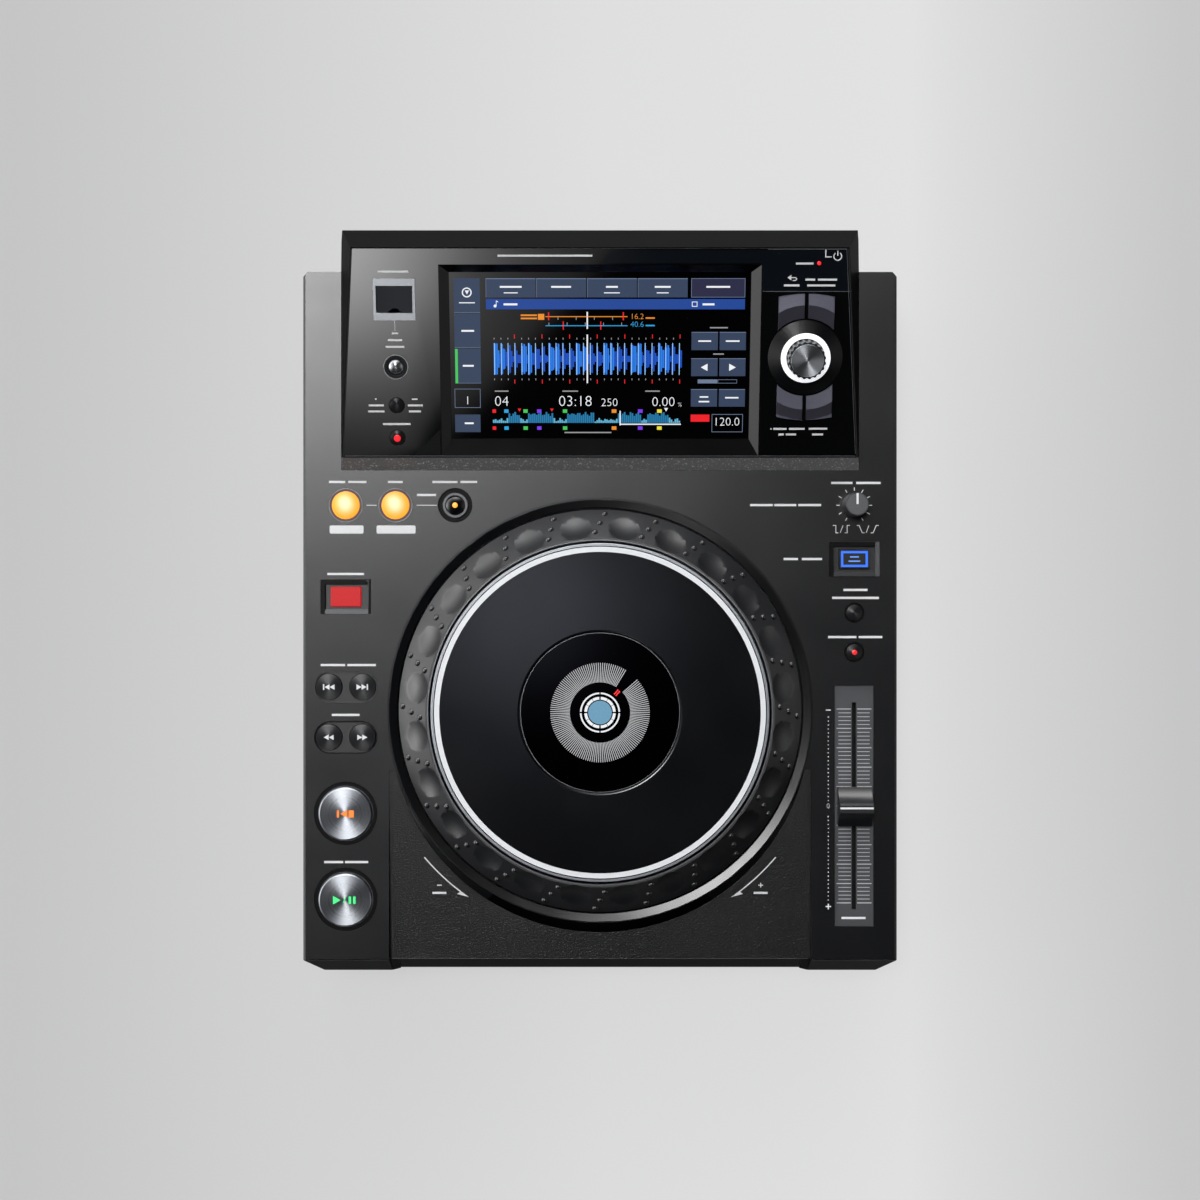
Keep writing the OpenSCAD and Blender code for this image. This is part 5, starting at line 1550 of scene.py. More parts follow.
@dataclass
class Selector:
    """The rotary selector with its lit ring, the four keys round it and the standby lamp."""

    x: float = 103.8
    v: float = 51.5
    knob_h: float = 12.5
    cap_r: float = 8.2
    cap_step: float = 0.9
    cap_sink: float = 0.04
    standby: Point = (109.6, 98.8)
    strips: Sequence[Triple] = (
        (92.2, 100.0, 87.7), (102.9, 107.8, 90.6), (109.2, 118.8, 90.6), (103.9, 118.0, 87.7),
        (88.4, 95.2, 14.8), (96.4, 104.4, 14.8), (91.1, 93.8, 11.9), (94.8, 100.1, 11.9),
        (106.5, 116.0, 14.9), (108.3, 113.9, 11.9), (98.0, 106.8, 98.6))

    def build(self) -> None:
        """Dresses the selector and the four keys and prints their marks."""
        self.wings()
        self.knob()
        self.print_marks()
        lamp("standby_lamp", 1.0, -0.2, 0.35, 0.15, AT.fascia(*self.standby), "display_fascia", RED_LED)

    def wings(self) -> None:
        """Dresses the four keys, with painted shade on their lower slopes as a darker copy of their plastic."""
        way = AT.fascia().to_3x3() @ Vector((0, 1, 0))
        for node in ("back_button", "tag_button", "filter_button", "shortcut_button"):
            paint(refine(node, WING, 0.2, 2, 20, 12), WING_PAINTED_SHADE, lambda spot, normal: normal.dot(way) < -0.03)

    def knob(self) -> None:
        """Dresses the cone, the lit ring and the knob, and adds the knob's faced cap."""
        centre = tuple(AT.fascia(self.x, self.v) @ Vector((0, 0, 0)))
        axis = tuple(AT.fascia().to_3x3() @ Vector(UP))
        refine("selector_bezel", SpunMetal("abs_turned_bezel", "#0d0e10", 0.3, 0.3, height=0.002, centre=centre,
                                           axis=axis), 0.2, 2, 20)
        refine("selector_light", WHITE_LIGHT, 0.25)
        dress(STEEL, "selector_encoder", "selector_plunger")
        refine("selector_knob", KNOB_SIDE, 0.3)
        face = disc("selector_face", self.cap_r, -0.3, 0.12, 96)
        pick(face, lambda spot, normal: normal.z > 0.9)
        bpy.ops.mesh.inset(thickness=self.cap_step * MM)
        bpy.ops.transform.translate(value=(0, 0, -self.cap_sink * MM))
        set_mode("OBJECT")
        soften(face, 0.06, 1)
        smooth(face, 20)
        seat(face, AT.fascia(self.x, self.v, self.knob_h), "selector_knob",
             SpunMetal("aluminium_faced", "#b4b7bc", 0.36, 1.0, height=0.0003, mottle=0.05, centre=centre,
                       axis=axis, ring=0.6))

    def print_marks(self) -> None:
        """Prints the arrows, strips and the standby sign round the selector."""
        ink = Legend("selector_marks")
        ink.shape([(93.9, 91.6), (95.9, 93.0), (95.9, 90.2)])
        ink.path([(95.9, 91.6), (98.0, 91.6), (98.6, 90.9), (98.0, 90.2), (96.6, 90.2)], 0.45)
        ink.strips(self.strips).dot(87.3, 14.8, 0.4)
        ink.arc(118.8, 102.2, 1.95, 0.5, 125, 415, 24).bar(118.8, 103.7, 0.5, 2.4)
        ink.path([(112.8, 105.6), (112.8, 101.9), (115.8, 101.9)], 0.5)
        ink.lay(AT.fascia(), "display_fascia", WHITE_INK)


# ---- left column ----

@dataclass
class KeySurround:
    """Painted shade and painted highlights inside the frame of an oblong key: black bars on the shaded walls and
    pale leaning bars on the lit ones.
    """

    x: float
    y: float
    right_w: float
    right_finish: Finish
    left_w: float = 2.2
    side_len: float = 17.6
    foot: float = -1.9
    flat_top: float = 0.36
    lit_top: float = 0.66
    fall: float = 0.28

    def build(self) -> None:
        """Adds the bevel bars: painted shade on the left and the upper one, the right one in its given finish, and a
        painted highlight on the lower one.
        """
        self.bevel(self.left_w, self.side_len, -11.8, 0.0, RIM_PAINTED_SHADE)
        self.bevel(21.4, 2.3, 0.0, 7.65, RIM_PAINTED_SHADE)
        self.bevel(self.right_w, self.side_len, 12.9 - self.right_w / 2, 0.0, self.right_finish)
        self.bevel(25.6 - self.left_w - self.right_w - 0.1, 2.2, (self.left_w - self.right_w) / 2, -7.7, KEY_BEVEL_PAINTED_HIGHLIGHT)

    def bevel(self, width: float, depth: float, dx: float, dy: float, finish: Finish) -> None:
        """Adds one bevel bar, flat where it is black painted shade and leaning towards the key where it is a pale
        painted highlight.

        Args:
            width: its size across.
            depth: its size along.
            dx: its middle from the key's, across.
            dy: the same, along.
            finish: its surface.
        """
        flat = finish is RIM_PAINTED_SHADE
        piece = block("key_bevel", width, depth, self.foot, self.flat_top if flat else self.lit_top)
        if not flat:
            pick(piece, lambda spot, normal: spot.z > 0 and spot.x * dx + spot.y * dy < 0, Element.VERT)
            bpy.ops.transform.translate(value=(0, 0, -self.fall * MM))
            set_mode("OBJECT")
        seat(piece, AT.deck(self.x + dx, self.y + dy), "button_rims", finish)


@dataclass
class LeftColumn:
    """Loop keys, direction key, track and search keys and the two transport keys."""

    x: float = -131.0
    pair: float = 8.65
    amber_z: float = 73.0
    amber_r: float = 6.6
    face_z: float = 74.0
    well_r: float = 8.4
    well_hole: float = 7.2
    loop_y: float = field(default_factory=lambda: middle("loop_in_button").y)
    out_x: float = field(default_factory=lambda: middle("loop_out_button").x)
    reloop_x: float = field(default_factory=lambda: middle("reloop_button").x)
    track_y: float = field(default_factory=lambda: middle("track_back_button").y)
    search_y: float = field(default_factory=lambda: middle("search_back_button").y)
    reverse_y: float = field(default_factory=lambda: middle("reverse_button").y)
    cue_y: float = field(default_factory=lambda: middle("cue_button").y)
    play_y: float = field(default_factory=lambda: middle("play_button").y)

    def build(self) -> None:
        """Dresses the keys and their rims and prints their marks."""
        self.rims()
        self.keys()
        lamp("reloop_lamp", 1.4, top_of("reloop_button") - 0.5, top_of("reloop_button") + 0.12, 0.15,
             AT.deck(self.reloop_x, self.loop_y), "reloop_button", AMBER_LAMP)
        for x in (self.x, self.out_x):
            # Painted highlight: a thin pale ring round the loop key.
            self.trim(x, self.loop_y, 8.75, 8.45, RIM_PAINTED_HIGHLIGHT)
            # Painted light: a dim maroon glowing ring in the gap round the loop key.
            seat(ring("loop_well", self.well_r, self.well_hole, -0.6, -0.35, 72), AT.deck(x, self.loop_y),
                 "button_rims", WELL_PAINTED_GLOW)
        self.trim(self.reloop_x, self.loop_y, 6.35, 5.2, RELOOP_RING)
        for y in (self.cue_y, self.play_y):
            # Painted highlight: a thin pale ring round the key.
            self.trim(self.x, y, 14.15, 13.95, RIM_PAINTED_HIGHLIGHT)
        self.key_marks()
        self.print_marks()

    def rims(self) -> None:
        """Dresses the rims, with painted shade in their wells as a deeper black copy of the rim plastic, and adds
        the direction key's bevels.
        """
        small, wide, round_key, own = 7.4, 17.0, 9.3, 5.7
        wells = [(x, self.loop_y, round_key) for x in (self.x, self.out_x, self.reloop_x)]
        wells += [(self.x, y, wide) for y in (self.cue_y, self.play_y)]
        wells += [(self.x + side * self.pair, y, small) for side in (-1, 1) for y in (self.track_y, self.search_y)]
        wells += [(*middle(node).xy, own) for node in ("tempo_range_button", "master_tempo_button")]
        # Painted shade: the rim faces round each key take the deeper black copy.
        paint(refine("button_rims", RIM, 0.25), RIM_PAINTED_SHADE, lambda spot, normal: any(
            math.hypot(spot.x - x, spot.y - y) < radius for x, y, radius in wells))
        KeySurround(self.x, self.reverse_y, 1.1, RIM_PAINTED_SHADE).build()

    def keys(self) -> None:
        """Dresses the keys: lit amber, gloss, turned black, lit red and turned aluminium."""
        for node, x in (("loop_in_button", self.x), ("loop_out_button", self.out_x)):
            centre = tuple(Vector((x, self.loop_y, self.amber_z)) * MM)
            dress(Lit("polycarbonate_amber_" + node, "#d88a20", 0.3, heart="#ffeccb", rim="#f79a2c",
                      strength=0.9, centre=centre, spread=self.amber_r), node)
        dress(KEY_GLOSS, "reloop_button")
        for node in ("track_back_button", "track_forward_button", "search_back_button", "search_forward_button"):
            dress(spun_key(node), node)
        refine("reverse_button", RED_LIT, 0.9, 3)
        for node, y in (("cue_button", self.cue_y), ("play_button", self.play_y)):
            dress(SpunMetal("aluminium_key_" + node, "#8f9297", 0.3, 1.0, height=0.002,
                            centre=tuple(Vector((self.x, y, self.face_z)) * MM)), node)

    def trim(self, x: float, y: float, outer: float, inner: float, finish: Finish) -> None:
        """Adds a thin pale ring round a key, a painted highlight where it takes the rim finish."""
        seat(ring("key_trim", outer, inner, -0.4, 0.12, 72), AT.deck(x, y), "button_rims", finish)

    def key_marks(self) -> None:
        """Prints the marks on the keys' caps."""
        for node, y, side, bar in (("track_back_button", self.track_y, -1, True),
                                   ("track_forward_button", self.track_y, 1, True),
                                   ("search_back_button", self.search_y, -1, False),
                                   ("search_forward_button", self.search_y, 1, False)):
            legend = Legend(node + "_mark")
            shift = -0.4 if bar else 0.0
            for place in (-1.3, 1.3):
                legend.arrow(side * (place + shift), 0, 2.6, 0 if side > 0 else 180)
            if bar:
                legend.bar(side * 2.6, 0, 0.7, 3.0)
            legend.lay(AT.deck(self.x + side * self.pair, y, top_of(node) - 0.25), node, WHITE_INK, 0.3)
        play = Legend("play_mark").arrow(-4.2, 0, 4.0, 0).bar(-0.4, 0, 0.45, 3.2, -24)
        play.bar(2.5, 0, 1.3, 3.8).bar(4.8, 0, 1.3, 3.8)
        cue = Legend("cue_mark").bar(-3.6, 0, 1.1, 3.6).arrow(-0.6, 0, 3.6, 180).bar(3.2, 0, 2.6, 3.6)
        for legend, node, y, finish in ((play, "play_button", self.play_y, GREEN_INK),
                                        (cue, "cue_button", self.cue_y, ORANGE_INK)):
            legend.lay(AT.deck(self.x, y, top_of("play_button")), node, finish, 0.06)

    def print_marks(self) -> None:
        """Prints the marks on the deck."""
        ink = Legend("left_column_marks")
        for left, right in ((-120.3, -115.1), (-94.5, -84.2)):
            ink.line((left, self.loop_y), (right, self.loop_y), 0.4)
        ink.bars(((-135.4, 63.3, 8.4), (-125.0, 63.3, 9.4), (self.out_x, 63.3, 7.7), (-79.8, 63.3, 13.0),
                  (-67.6, 63.3, 8.6), (-89.4, 56.6, 9.8), (self.x, 15.9, 18.9), (-137.6, -31.0, 12.6),
                  (-122.8, -31.0, 14.6), (self.x, -56.7, 14.3), (-137.2, -132.5, 9.8),
                  (-125.4, -132.5, 12.0)), WORD_H)
        for left, right in ((-139.3, -121.8), (-115.1, -95.0)):
            ink.plate(left, 36.7, right, 40.9, 0.8)
        ink.lay(AT.deck(), "top_cover", WHITE_INK)


# ---- right column ----

@dataclass
class RightColumn:
    """Speed knob, mode and range keys and the tempo fader with its scale."""

    x: float = 131.0
    travel: float = 50.0
    tick_step: float = 2.0
    tick_gap: float = 1.6
    dial_in: float = 7.5
    dial_out: float = 9.2
    dial_start: float = -60.0
    dial_step: float = 30.0
    plate_drop: float = 1.2
    speed_y: float = field(default_factory=lambda: middle("speed_knob").y)
    mode_y: float = field(default_factory=lambda: middle("jog_mode_button").y)
    fader_y: float = field(default_factory=lambda: middle("fader_plate").y)
    cap_y: float = field(default_factory=lambda: middle("fader_cap").y)

    def build(self) -> None:
        """Dresses the column and prints its scales."""
        dress(STEEL, "speed_pot")
        dress(BLACK_STEEL, "fader_rail")
        refine("fader_plate", SCALE, 0.1)
        refine("fader_cap", CAP, 0.45, 3)
        refine("speed_knob", KNOB_SKIRT, 0.3)
        refine("jog_mode_button", KEY_BLACK, 0.9, 3)
        KeySurround(self.x, self.mode_y, 2.1, KEY_BEVEL_PAINTED_HIGHLIGHT).build()
        for node in ("tempo_range_button", "master_tempo_button"):
            dress(spun_key(node), node)
        self.lamps()
        self.print_marks()
        self.ticks()
        self.cap_lines()

    def lamps(self) -> None:
        """Adds the lit border of the mode key, the knob's grey top and the small lamp."""
        mode = AT.deck(self.x, self.mode_y, top_of("jog_mode_button"))
        Legend("jog_mode_border").frame(-6.9, -4.1, 6.9, 4.1, 1.15).lay(mode, "jog_mode_button", BLUE_LIT, 0.06)
        words = Legend("jog_mode_mark").bar(0, 1.1, 4.6, 0.7).bar(0, -1.1, 6.0, 0.7)
        words.lay(mode, "jog_mode_button", BLUE_PALE, 0.05)
        face = disc("speed_face", 5.3, -0.4, 0.05)
        soften(face, 0.04, 1)
        seat(face, AT.deck(self.x, self.speed_y, top_of("speed_knob")), "speed_knob", KNOB)
        line = Legend("speed_pointer").box(-0.55, 0.0, 0.55, 5.6)
        line.lay(AT.deck(self.x, self.speed_y, top_of("speed_knob") + 0.05), "speed_knob", WHITE_INK, 0.06)
        lamp("master_lamp", 1.3, -0.5, 0.1, 0.12,
             AT.deck(self.x, middle("master_tempo_button").y, top_of("master_tempo_button")),
             "master_tempo_button", RED_LED)

    def print_marks(self) -> None:
        """Prints the knob's scale, its two curves, the fader's dots and the marks of the column."""
        ink = Legend("right_column_marks")
        for i in range(11):
            a = math.radians(self.dial_start + i * self.dial_step)
            ink.line(*((self.x + r * math.cos(a), self.speed_y + r * math.sin(a))
                       for r in (self.dial_in, self.dial_out)), 0.4)
        high, low, thick, slant = 40.9, 37.1, 0.35, 0.3
        for width, points in ((thick, ((120.0, high), (121.5, high), (121.5, low), (122.8, low))),
                              (slant, ((123.7, low), (125.2, high))),
                              (thick, ((126.0, low), (127.3, low), (127.3, high), (128.7, high))),
                              (thick, ((132.3, high), (133.5, high), (135.1, low), (136.3, low))),
                              (slant, ((137.1, low), (138.5, high))),
                              (thick, ((139.5, low), (140.7, low), (142.3, high), (143.6, high)))):
            ink.path(points, width)
        ink.bars(((124.6, 62.8, 11.0), (138.3, 62.8, 12.6), (83.2, 51.4, 11.6), (95.4, 51.4, 11.4),
                  (108.0, 51.4, 11.8), (98.3, 23.6, 7.4), (109.2, 23.6, 10.4), (131.6, 7.7, 12.4),
                  (131.6, 3.6, 24.0), (124.8, -16.6, 14.6), (139.3, -16.6, 12.2), (130.6, -161.3, 12.4)), WORD_H)
        dots_x, dots_top, dots_step, gap = 117.6, -57.8, 2.048, (22, 23, 24)
        for i in range(47):
            if i not in gap:
                ink.dot(dots_x, dots_top - i * dots_step, 0.3, 10)
        ink.bar(dots_x, -54.2, 2.6, 0.5).plus(dots_x, -155.4, 2.8, 0.6).figures("0", dots_x, self.fader_y, 2.6)
        ink.lay(AT.deck(), "top_cover", WHITE_INK)

    def ticks(self) -> None:
        """Prints the fader's scale, one tick for each 2 mm and a longer one for each 10 mm."""
        ticks = Legend("fader_ticks")
        for i in range(51):
            y = self.fader_y - self.travel + i * self.tick_step
            half, thick = (9.0, 0.22) if i % 5 == 0 else (8.1, 0.15)
            ends = sorted((self.tick_gap, half))
            ticks.box(self.x - ends[1], y - thick, self.x - ends[0], y + thick)
            ticks.box(self.x + ends[0], y - thick, self.x + ends[1], y + thick)
        ticks.lay(AT.deck(0, 0, -self.plate_drop), "fader_plate", SCALE_INK)

    def cap_lines(self) -> None:
        """Lays the white line into the groove across the fader cap, and the fine line beside it."""
        for name, width, depth, low, high, rounding, shift, finish in (
                ("fader_line", 17.0, 0.95, -0.45, 0.03, 0.05, 0.0, WHITE_INK),
                ("fader_fine_line", 16.6, 0.22, -0.2, 0.04, 0.02, 1.75, GREY_INK)):
            line = block(name, width, depth, low, high)
            soften(line, rounding, 1)
            seat(line, AT.deck(self.x, self.cap_y + shift, top_of("fader_cap")), "fader_cap", finish)


# ---- wheel ----

@dataclass
class Wheel:
    """The jog wheel: gloss collar, dimpled ring, satin plate with its inlay and the centre display."""

    ring_r: float = 103.5
    flank_z: float = -17.5
    flank_run: float = 14.9
    flank_rise: float = 16.7
    bump_r: float = 1.65
    dimples: int = 24
    bump_rows: Sequence[Point] = ((101.2, -1.4), (96.3, 0.1), (91.5, 1.6))
    plate_r: float = 86.05
    hole_r: float = 40.9
    plate_t: float = 2.5
    rib_foot: float = -13.7
    display_drop: float = -0.5
    marker_angle: float = 49.4
    marker_r: float = 13.2
    rays: int = 135
    rays_start: float = 57.5
    rays_span: float = 345.0
    ray_r: float = 20.25

    def build(self) -> None:
        """Dresses the wheel and draws its display."""
        refine("jog_collar", COLLAR, 0.12, 1, 30, 8)
        refine("jog_ring", RING, 0.0, shade=11)
        dress(ACETAL, "encoder_pinion")
        dress(BRONZE, "jog_bearing")
        refine("jog_base", DECK, 0.2)
        dress(DISC_WINDOW, "jog_display")
        self.bumps()
        self.plate()
        self.edges()
        self.face()

    def bumps(self) -> None:
        """Adds the three grip bumps between each two dimples."""
        clear_selection()
        bpy.ops.mesh.primitive_uv_sphere_add(segments=12, ring_count=6, radius=self.bump_r * MM)
        bump = fresh("ring_bumps")
        bump.data.transform(Matrix.Diagonal((1, 1, 0.8, 1)))
        pick(bump, lambda spot, normal: spot.z < -0.3)
        bpy.ops.mesh.delete(type="FACE")
        pick(bump, lambda spot, way: spot.z < 0.0, Element.EDGE)
        bpy.ops.mesh.edge_face_add()
        set_mode("OBJECT")
        lean = Matrix.Rotation(math.atan2(self.flank_rise, self.flank_run), 4, "Y")
        places = []
        for i in range(self.dimples):
            for radius, turn in self.bump_rows:
                rise = self.flank_z + (self.ring_r - radius) * self.flank_rise / self.flank_run
                places.append(AT.wheel(0, i * 360 / self.dimples + turn)
                              @ Matrix.Translation(Vector((radius, 0, rise)) * MM) @ lean)
        made = join("ring_bumps", copies(bump, places))
        smooth(made, 60)
        seat(made, Matrix.Identity(4), "jog_ring", BUMP)

    def plate(self) -> None:
        """Turns the plate with its rolled edge and grooves, and the two ribs below it."""
        low, step = -self.plate_t, -0.12
        outline = [(self.hole_r, low), (self.plate_r, low), (self.plate_r, -0.5), (85.85, step),
                   (84.42, step), (84.36, -0.5), (84.1, -0.5), (84.05, step), (81.35, step), (81.3, 0.0),
                   (80.9, 0.0), (42.0, 0.0), (41.6, 0.0), (41.2, step), (self.hole_r, -0.5)]
        top = spun("wheel_plate", outline, 180)
        ribs = [ring("wheel_plate", outer, inner, self.rib_foot, low + 0.1, 120)
                for inner, outer in ((self.hole_r, self.hole_r + 2), (82.6, 84.6))]
        whole = join("wheel_plate", [top] + ribs)
        smooth(whole, 20)
        weigh(whole)
        seat(whole, AT.wheel(), "jog_plate", PLATE, ["jog_plate"])

    def edges(self) -> None:
        """Lays the inlay and the bright edge on the plate, and thin pale rings as painted highlights on the ring's
        edge and round the window.
        """
        seat(ring("wheel_inlay", 84.0, 81.4, -0.2, -0.02, 180), AT.wheel(), "jog_plate", INLAY)
        trim = spun("wheel_trim", [(84.5, -0.2), (85.75, -0.2), (85.75, -0.1), (85.6, 0.0), (84.5, 0.0)], 180)
        smooth(trim, 20)
        seat(trim, AT.wheel(), "jog_plate", PLATE_EDGE)
        # Painted highlights: thin pale rings on the wheel ring's edge and round the window.
        seat(ring("ring_edge", 87.65, 87.2, -1.0, -0.72, 180), AT.wheel(), "jog_ring", RIM_PAINTED_HIGHLIGHT)
        seat(ring("window_rim", 40.5, 40.2, -0.3, 0.1, 120), AT.wheel(self.display_drop), "jog_display", RIM_PAINTED_HIGHLIGHT)

    def face(self) -> None:
        """Draws the centre display: the rays, the marker, the disc and the segmented rings."""
        rays = Legend("wheel_rays").bar(0, 0, 9.9, 0.4)
        rays.parts = copies(rays.parts.pop(), [
            Matrix.Rotation(math.radians(self.rays_start + (i + 0.5) * self.rays_span / self.rays), 4, "Z")
            @ Matrix.Translation((self.ray_r * MM, 0, 0)) for i in range(self.rays)])
        marker = Legend("wheel_marker")
        a, reach = math.radians(self.marker_angle), self.marker_r
        for shift in (-0.55, 0.55):
            marker.bar(reach * math.cos(a) - shift * math.sin(a), reach * math.sin(a) + shift * math.cos(a),
                       3.2, 0.6, self.marker_angle)
        blue = Legend("wheel_disc").dot(0, 0, 6.0, 64)
        rings = Legend("wheel_rings")
        for i in range(12):
            start = i * 30 + (3.0 if i % 3 == 0 else 1.0)
            stop = i * 30 + 30 - (3.0 if i % 3 == 2 else 1.0)
            rings.arc(0, 0, 7.25, 1.4, start, stop, 6)
        for i in range(4):
            rings.arc(0, 0, 9.75, 0.8, i * 90 + 2.2, i * 90 + 87.8, 20)
        for legend, finish in ((rays, RAY_LIGHT), (marker, RED_LED), (blue, DISC_BLUE), (rings, RING_LIGHT)):
            legend.lay(AT.wheel(self.display_drop), "jog_display", finish)


# ---- studio ----

@dataclass(frozen=True)
class Glow:
    """A soft patch of studio light, by the way that it lies from the player and its spread."""

    way: Triple
    spread: Triple
    power: float
    colour: str = "#ffffff"
    edge: Optional[Triple] = None


@dataclass
class Studio:
    """The pale floor, the soft light round the player and the camera straight above it."""

    height: float = 1.172
    lens: float = 64.06
    base: float = 0.01
    camera_y: float = 0.0025
    floor_size: float = 1.6
    floor_in_gloss: float = 0.1
    floor_glow: float = 0.8
    fibre_scale: float = 900.0
    paper: str = "#c9cacc"
    sky: str = "#d8d9db"
    cut_soft: float = 0.007
    half_floor: float = 320
    floor_painted_light: Sequence[Point] = ((-320, 0.55), (-274, 0.58), (-170, 0.66), (0, 0.77), (170, 0.80),
                                    (198, 0.745), (234, 0.69), (320, 0.57))
    cut: Triple = (-0.7422, 0.6253, 0.2409)
    glows: Sequence[Glow] = (
        Glow((-0.2, 0.2, 0.96), (0.06, 0.06, 0.06), 40.0),
        Glow((-0.1, 0.22, 0.97), (0.06, 0.06, 0.06), 18.0),
        Glow((-0.032, -0.008, 1.0), (0.02, 0.02, 0.05), 3.5, "#dfe6ff"),
        Glow((-0.995, 0.0, 0.1), (0.28, 0.28, 0.28), 6.5),
        Glow((0.0, 0.99, 0.15), (0.28, 0.28, 0.28), 10.0),
        Glow((0.995, 0.0, 0.1), (0.28, 0.28, 0.28), 1.0),
        Glow((-0.7, 0.7, 0.15), (0.28, 0.28, 0.28), 4.0),
        Glow((-0.125, -0.345, 0.93), (0.037, 0.036, 0.05), 4.6, edge=cut),
        Glow((-0.05, -0.38, 0.92), (0.05, 0.05, 0.06), 0.45, edge=cut),
    )

    def build(self) -> None:
        """Builds the floor, the light and the camera."""
        self.floor()
        self.light()
        self.camera()

    def floor(self) -> None:
        """Adds the floor, with a painted pool of light that is palest near the middle, which keeps the player's
        shadow.
        """
        clear_selection()
        bpy.ops.mesh.primitive_plane_add(size=self.floor_size)
        floor = fresh("floor")
        # Seamless paper: a matt sheet whose fibres only just vary its tone.
        material = bpy.data.materials.new("paper_backdrop")
        material.use_nodes = True
        tree = material.node_tree
        tree.nodes.clear()
        spot = add_node(tree, "TexCoord").outputs["Object"]
        split = add_node(tree, "SeparateXYZ", links={0: spot})
        along = add_node(tree, "MapRange", {"From Min": -self.half_floor * MM, "From Max": self.half_floor * MM},
                         {"Value": split})
        # Painted light: the tone ramp is brightest a little right of the middle and falls off to both sides.
        tone = add_node(tree, "ValToRGB", links={"Fac": along})
        ramp = tone.color_ramp
        for place, level in self.floor_painted_light:
            at = (place + self.half_floor) / (2 * self.half_floor)
            stop = ramp.elements.new(at) if 0 < at < 1 else ramp.elements[-1 if at >= 1 else 0]
            stop.color = (level, level, level, 1)
        fibre = add_node(tree, "TexNoise", {"Scale": self.fibre_scale, "Detail": 2.0}, {"Vector": spot})
        fleck = add_node(tree, "MapRange", {"To Min": 0.98, "To Max": 1.02}, {"Value": fibre})
        level = add_node(tree, "Math", {"operation": "MULTIPLY"}, {0: tone, 1: fleck})
        soft = add_node(tree, "BsdfDiffuse", {"Color": hex_linear(self.paper)})
        rays = add_node(tree, "LightPath").outputs
        seen = add_node(tree, "Math", {"operation": "MAXIMUM"}, {0: rays["Is Camera Ray"], 1: rays["Is Glossy Ray"]})
        seen = add_node(tree, "Math", {"operation": "MAXIMUM"}, {0: seen, 1: rays["Is Transmission Ray"]})
        # Gloss shows the paper at a part of its light, so that upright walls stay dark.
        held = add_node(tree, "MapRange", {"To Min": 1.0, "To Max": self.floor_in_gloss},
                        {"Value": rays["Is Glossy Ray"]})
        power = add_node(tree, "Math", {"operation": "MULTIPLY"}, {0: level, 1: held})
        glow = add_node(tree, "Emission", {"Color": (1, 1, 1, 1)}, {"Strength": power})
        share = add_node(tree, "Math", {"operation": "MULTIPLY", 1: self.floor_glow}, {0: seen})
        mixed = add_node(tree, "MixShader", links={0: share, 1: soft, 2: glow})
        add_node(tree, "OutputMaterial", links={"Surface": mixed})
        floor.data.materials.append(material)

    def light(self) -> None:
        """Paints the soft patches of light on the world round the player."""
        world = bpy.data.worlds.new("studio")
        bpy.context.scene.world = world
        world.use_nodes = True
        tree = world.node_tree
        tree.nodes.clear()
        way = add_node(tree, "TexCoord").outputs["Generated"]
        total = add_node(tree, "RGB")
        total.outputs[0].default_value = (self.base, self.base, self.base, 1)
        for glow in self.glows:
            total = add_node(tree, "VectorMath", {"operation": "ADD"}, {0: total, 1: self.patch(tree, way, glow)})
        back = add_node(tree, "Background", {"Strength": 1.0}, {"Color": total})
        white = add_node(tree, "Background", {"Color": hex_linear(self.sky), "Strength": 1.0})
        seen = add_node(tree, "LightPath").outputs["Is Camera Ray"]
        mixed = add_node(tree, "MixShader", links={0: seen, 1: back, 2: white})
        add_node(tree, "OutputWorld", links={"Surface": mixed})

    def patch(self, tree: bpy.types.NodeTree, way: Socket, glow: Glow) -> Node:
        """Adds one patch of light, a bell that a straight edge may cut off.

        Args:
            tree: the world's nodes.
            way: the direction of the sky.
            glow: the patch.

        Returns:
            The node that gives its colour.
        """
        off = add_node(tree, "VectorMath", {"operation": "SUBTRACT", 1: glow.way}, {0: way})
        scaled = add_node(tree, "VectorMath", {"operation": "DIVIDE", 1: glow.spread}, {0: off})
        square = add_node(tree, "VectorMath", {"operation": "DOT_PRODUCT"}, {0: scaled, 1: scaled})
        halved = add_node(tree, "Math", {"operation": "MULTIPLY", 1: -0.5}, {0: square})
        bell = add_node(tree, "Math", {"operation": "EXPONENT"}, {0: halved})
        power = add_node(tree, "Math", {"operation": "MULTIPLY", 1: glow.power}, {0: bell})
        if glow.edge:
            side = add_node(tree, "VectorMath", {"operation": "DOT_PRODUCT", 1: glow.edge}, {0: way})
            shade = add_node(tree, "MapRange", {"interpolation_type": "SMOOTHSTEP", "From Min": -self.cut_soft,
                                                "From Max": self.cut_soft}, {"Value": side})
            power = add_node(tree, "Math", {"operation": "MULTIPLY"}, {0: power, 1: shade})
        return add_node(tree, "VectorMath", {"operation": "SCALE", 0: hex_linear(glow.colour)[:3]},
                        {"Scale": power})

    def camera(self) -> None:
        """Hangs the camera straight above the player."""
        data = bpy.data.cameras.new("camera")
        data.lens, data.sensor_width, data.clip_start, data.clip_end = self.lens, 36.0, 0.01, 50.0
        camera = bpy.data.objects.new("camera", data)
        camera.location = (0, self.camera_y, self.height)
        bpy.context.scene.collection.objects.link(camera)
        bpy.context.scene.camera = camera
        bpy.context.scene.view_settings.view_transform = "Standard"


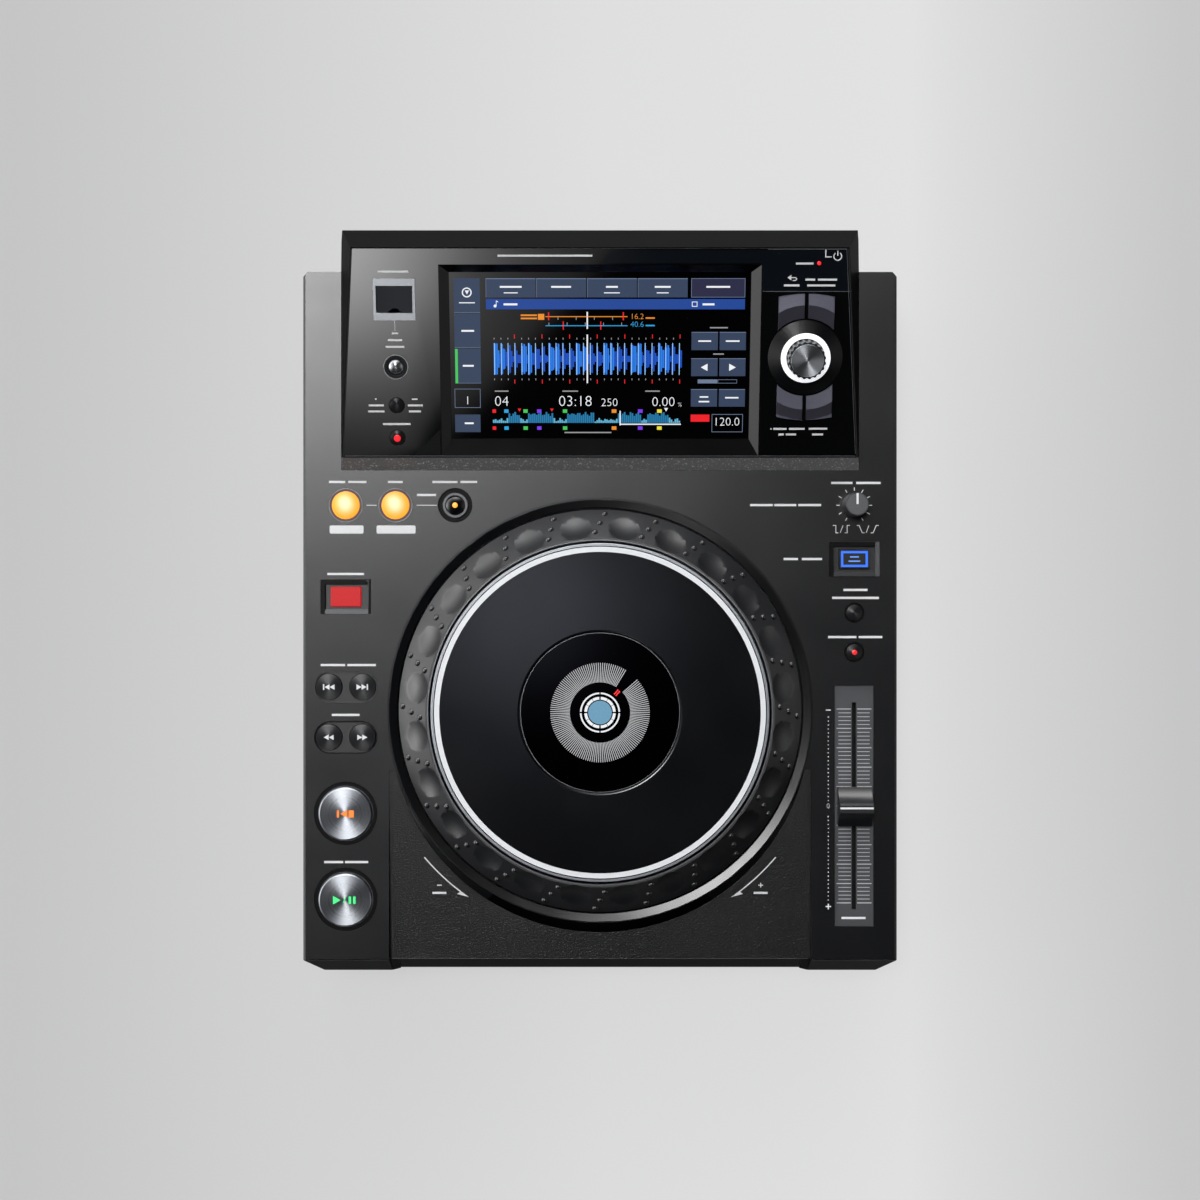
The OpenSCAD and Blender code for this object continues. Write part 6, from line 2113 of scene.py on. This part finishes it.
def main() -> None:
    """Builds the player's looks, sub-assembly by sub-assembly."""
    logging.basicConfig(level=logging.INFO, format="%(name)s %(message)s")
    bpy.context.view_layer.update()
    for part in (Studio(), Case(), Display(), PanelControls(), Selector(), LeftColumn(), RightColumn(), Wheel()):
        log.info("building %s", type(part).__name__)
        part.build()
    clear_selection()


if __name__ == "__main__":
    main()
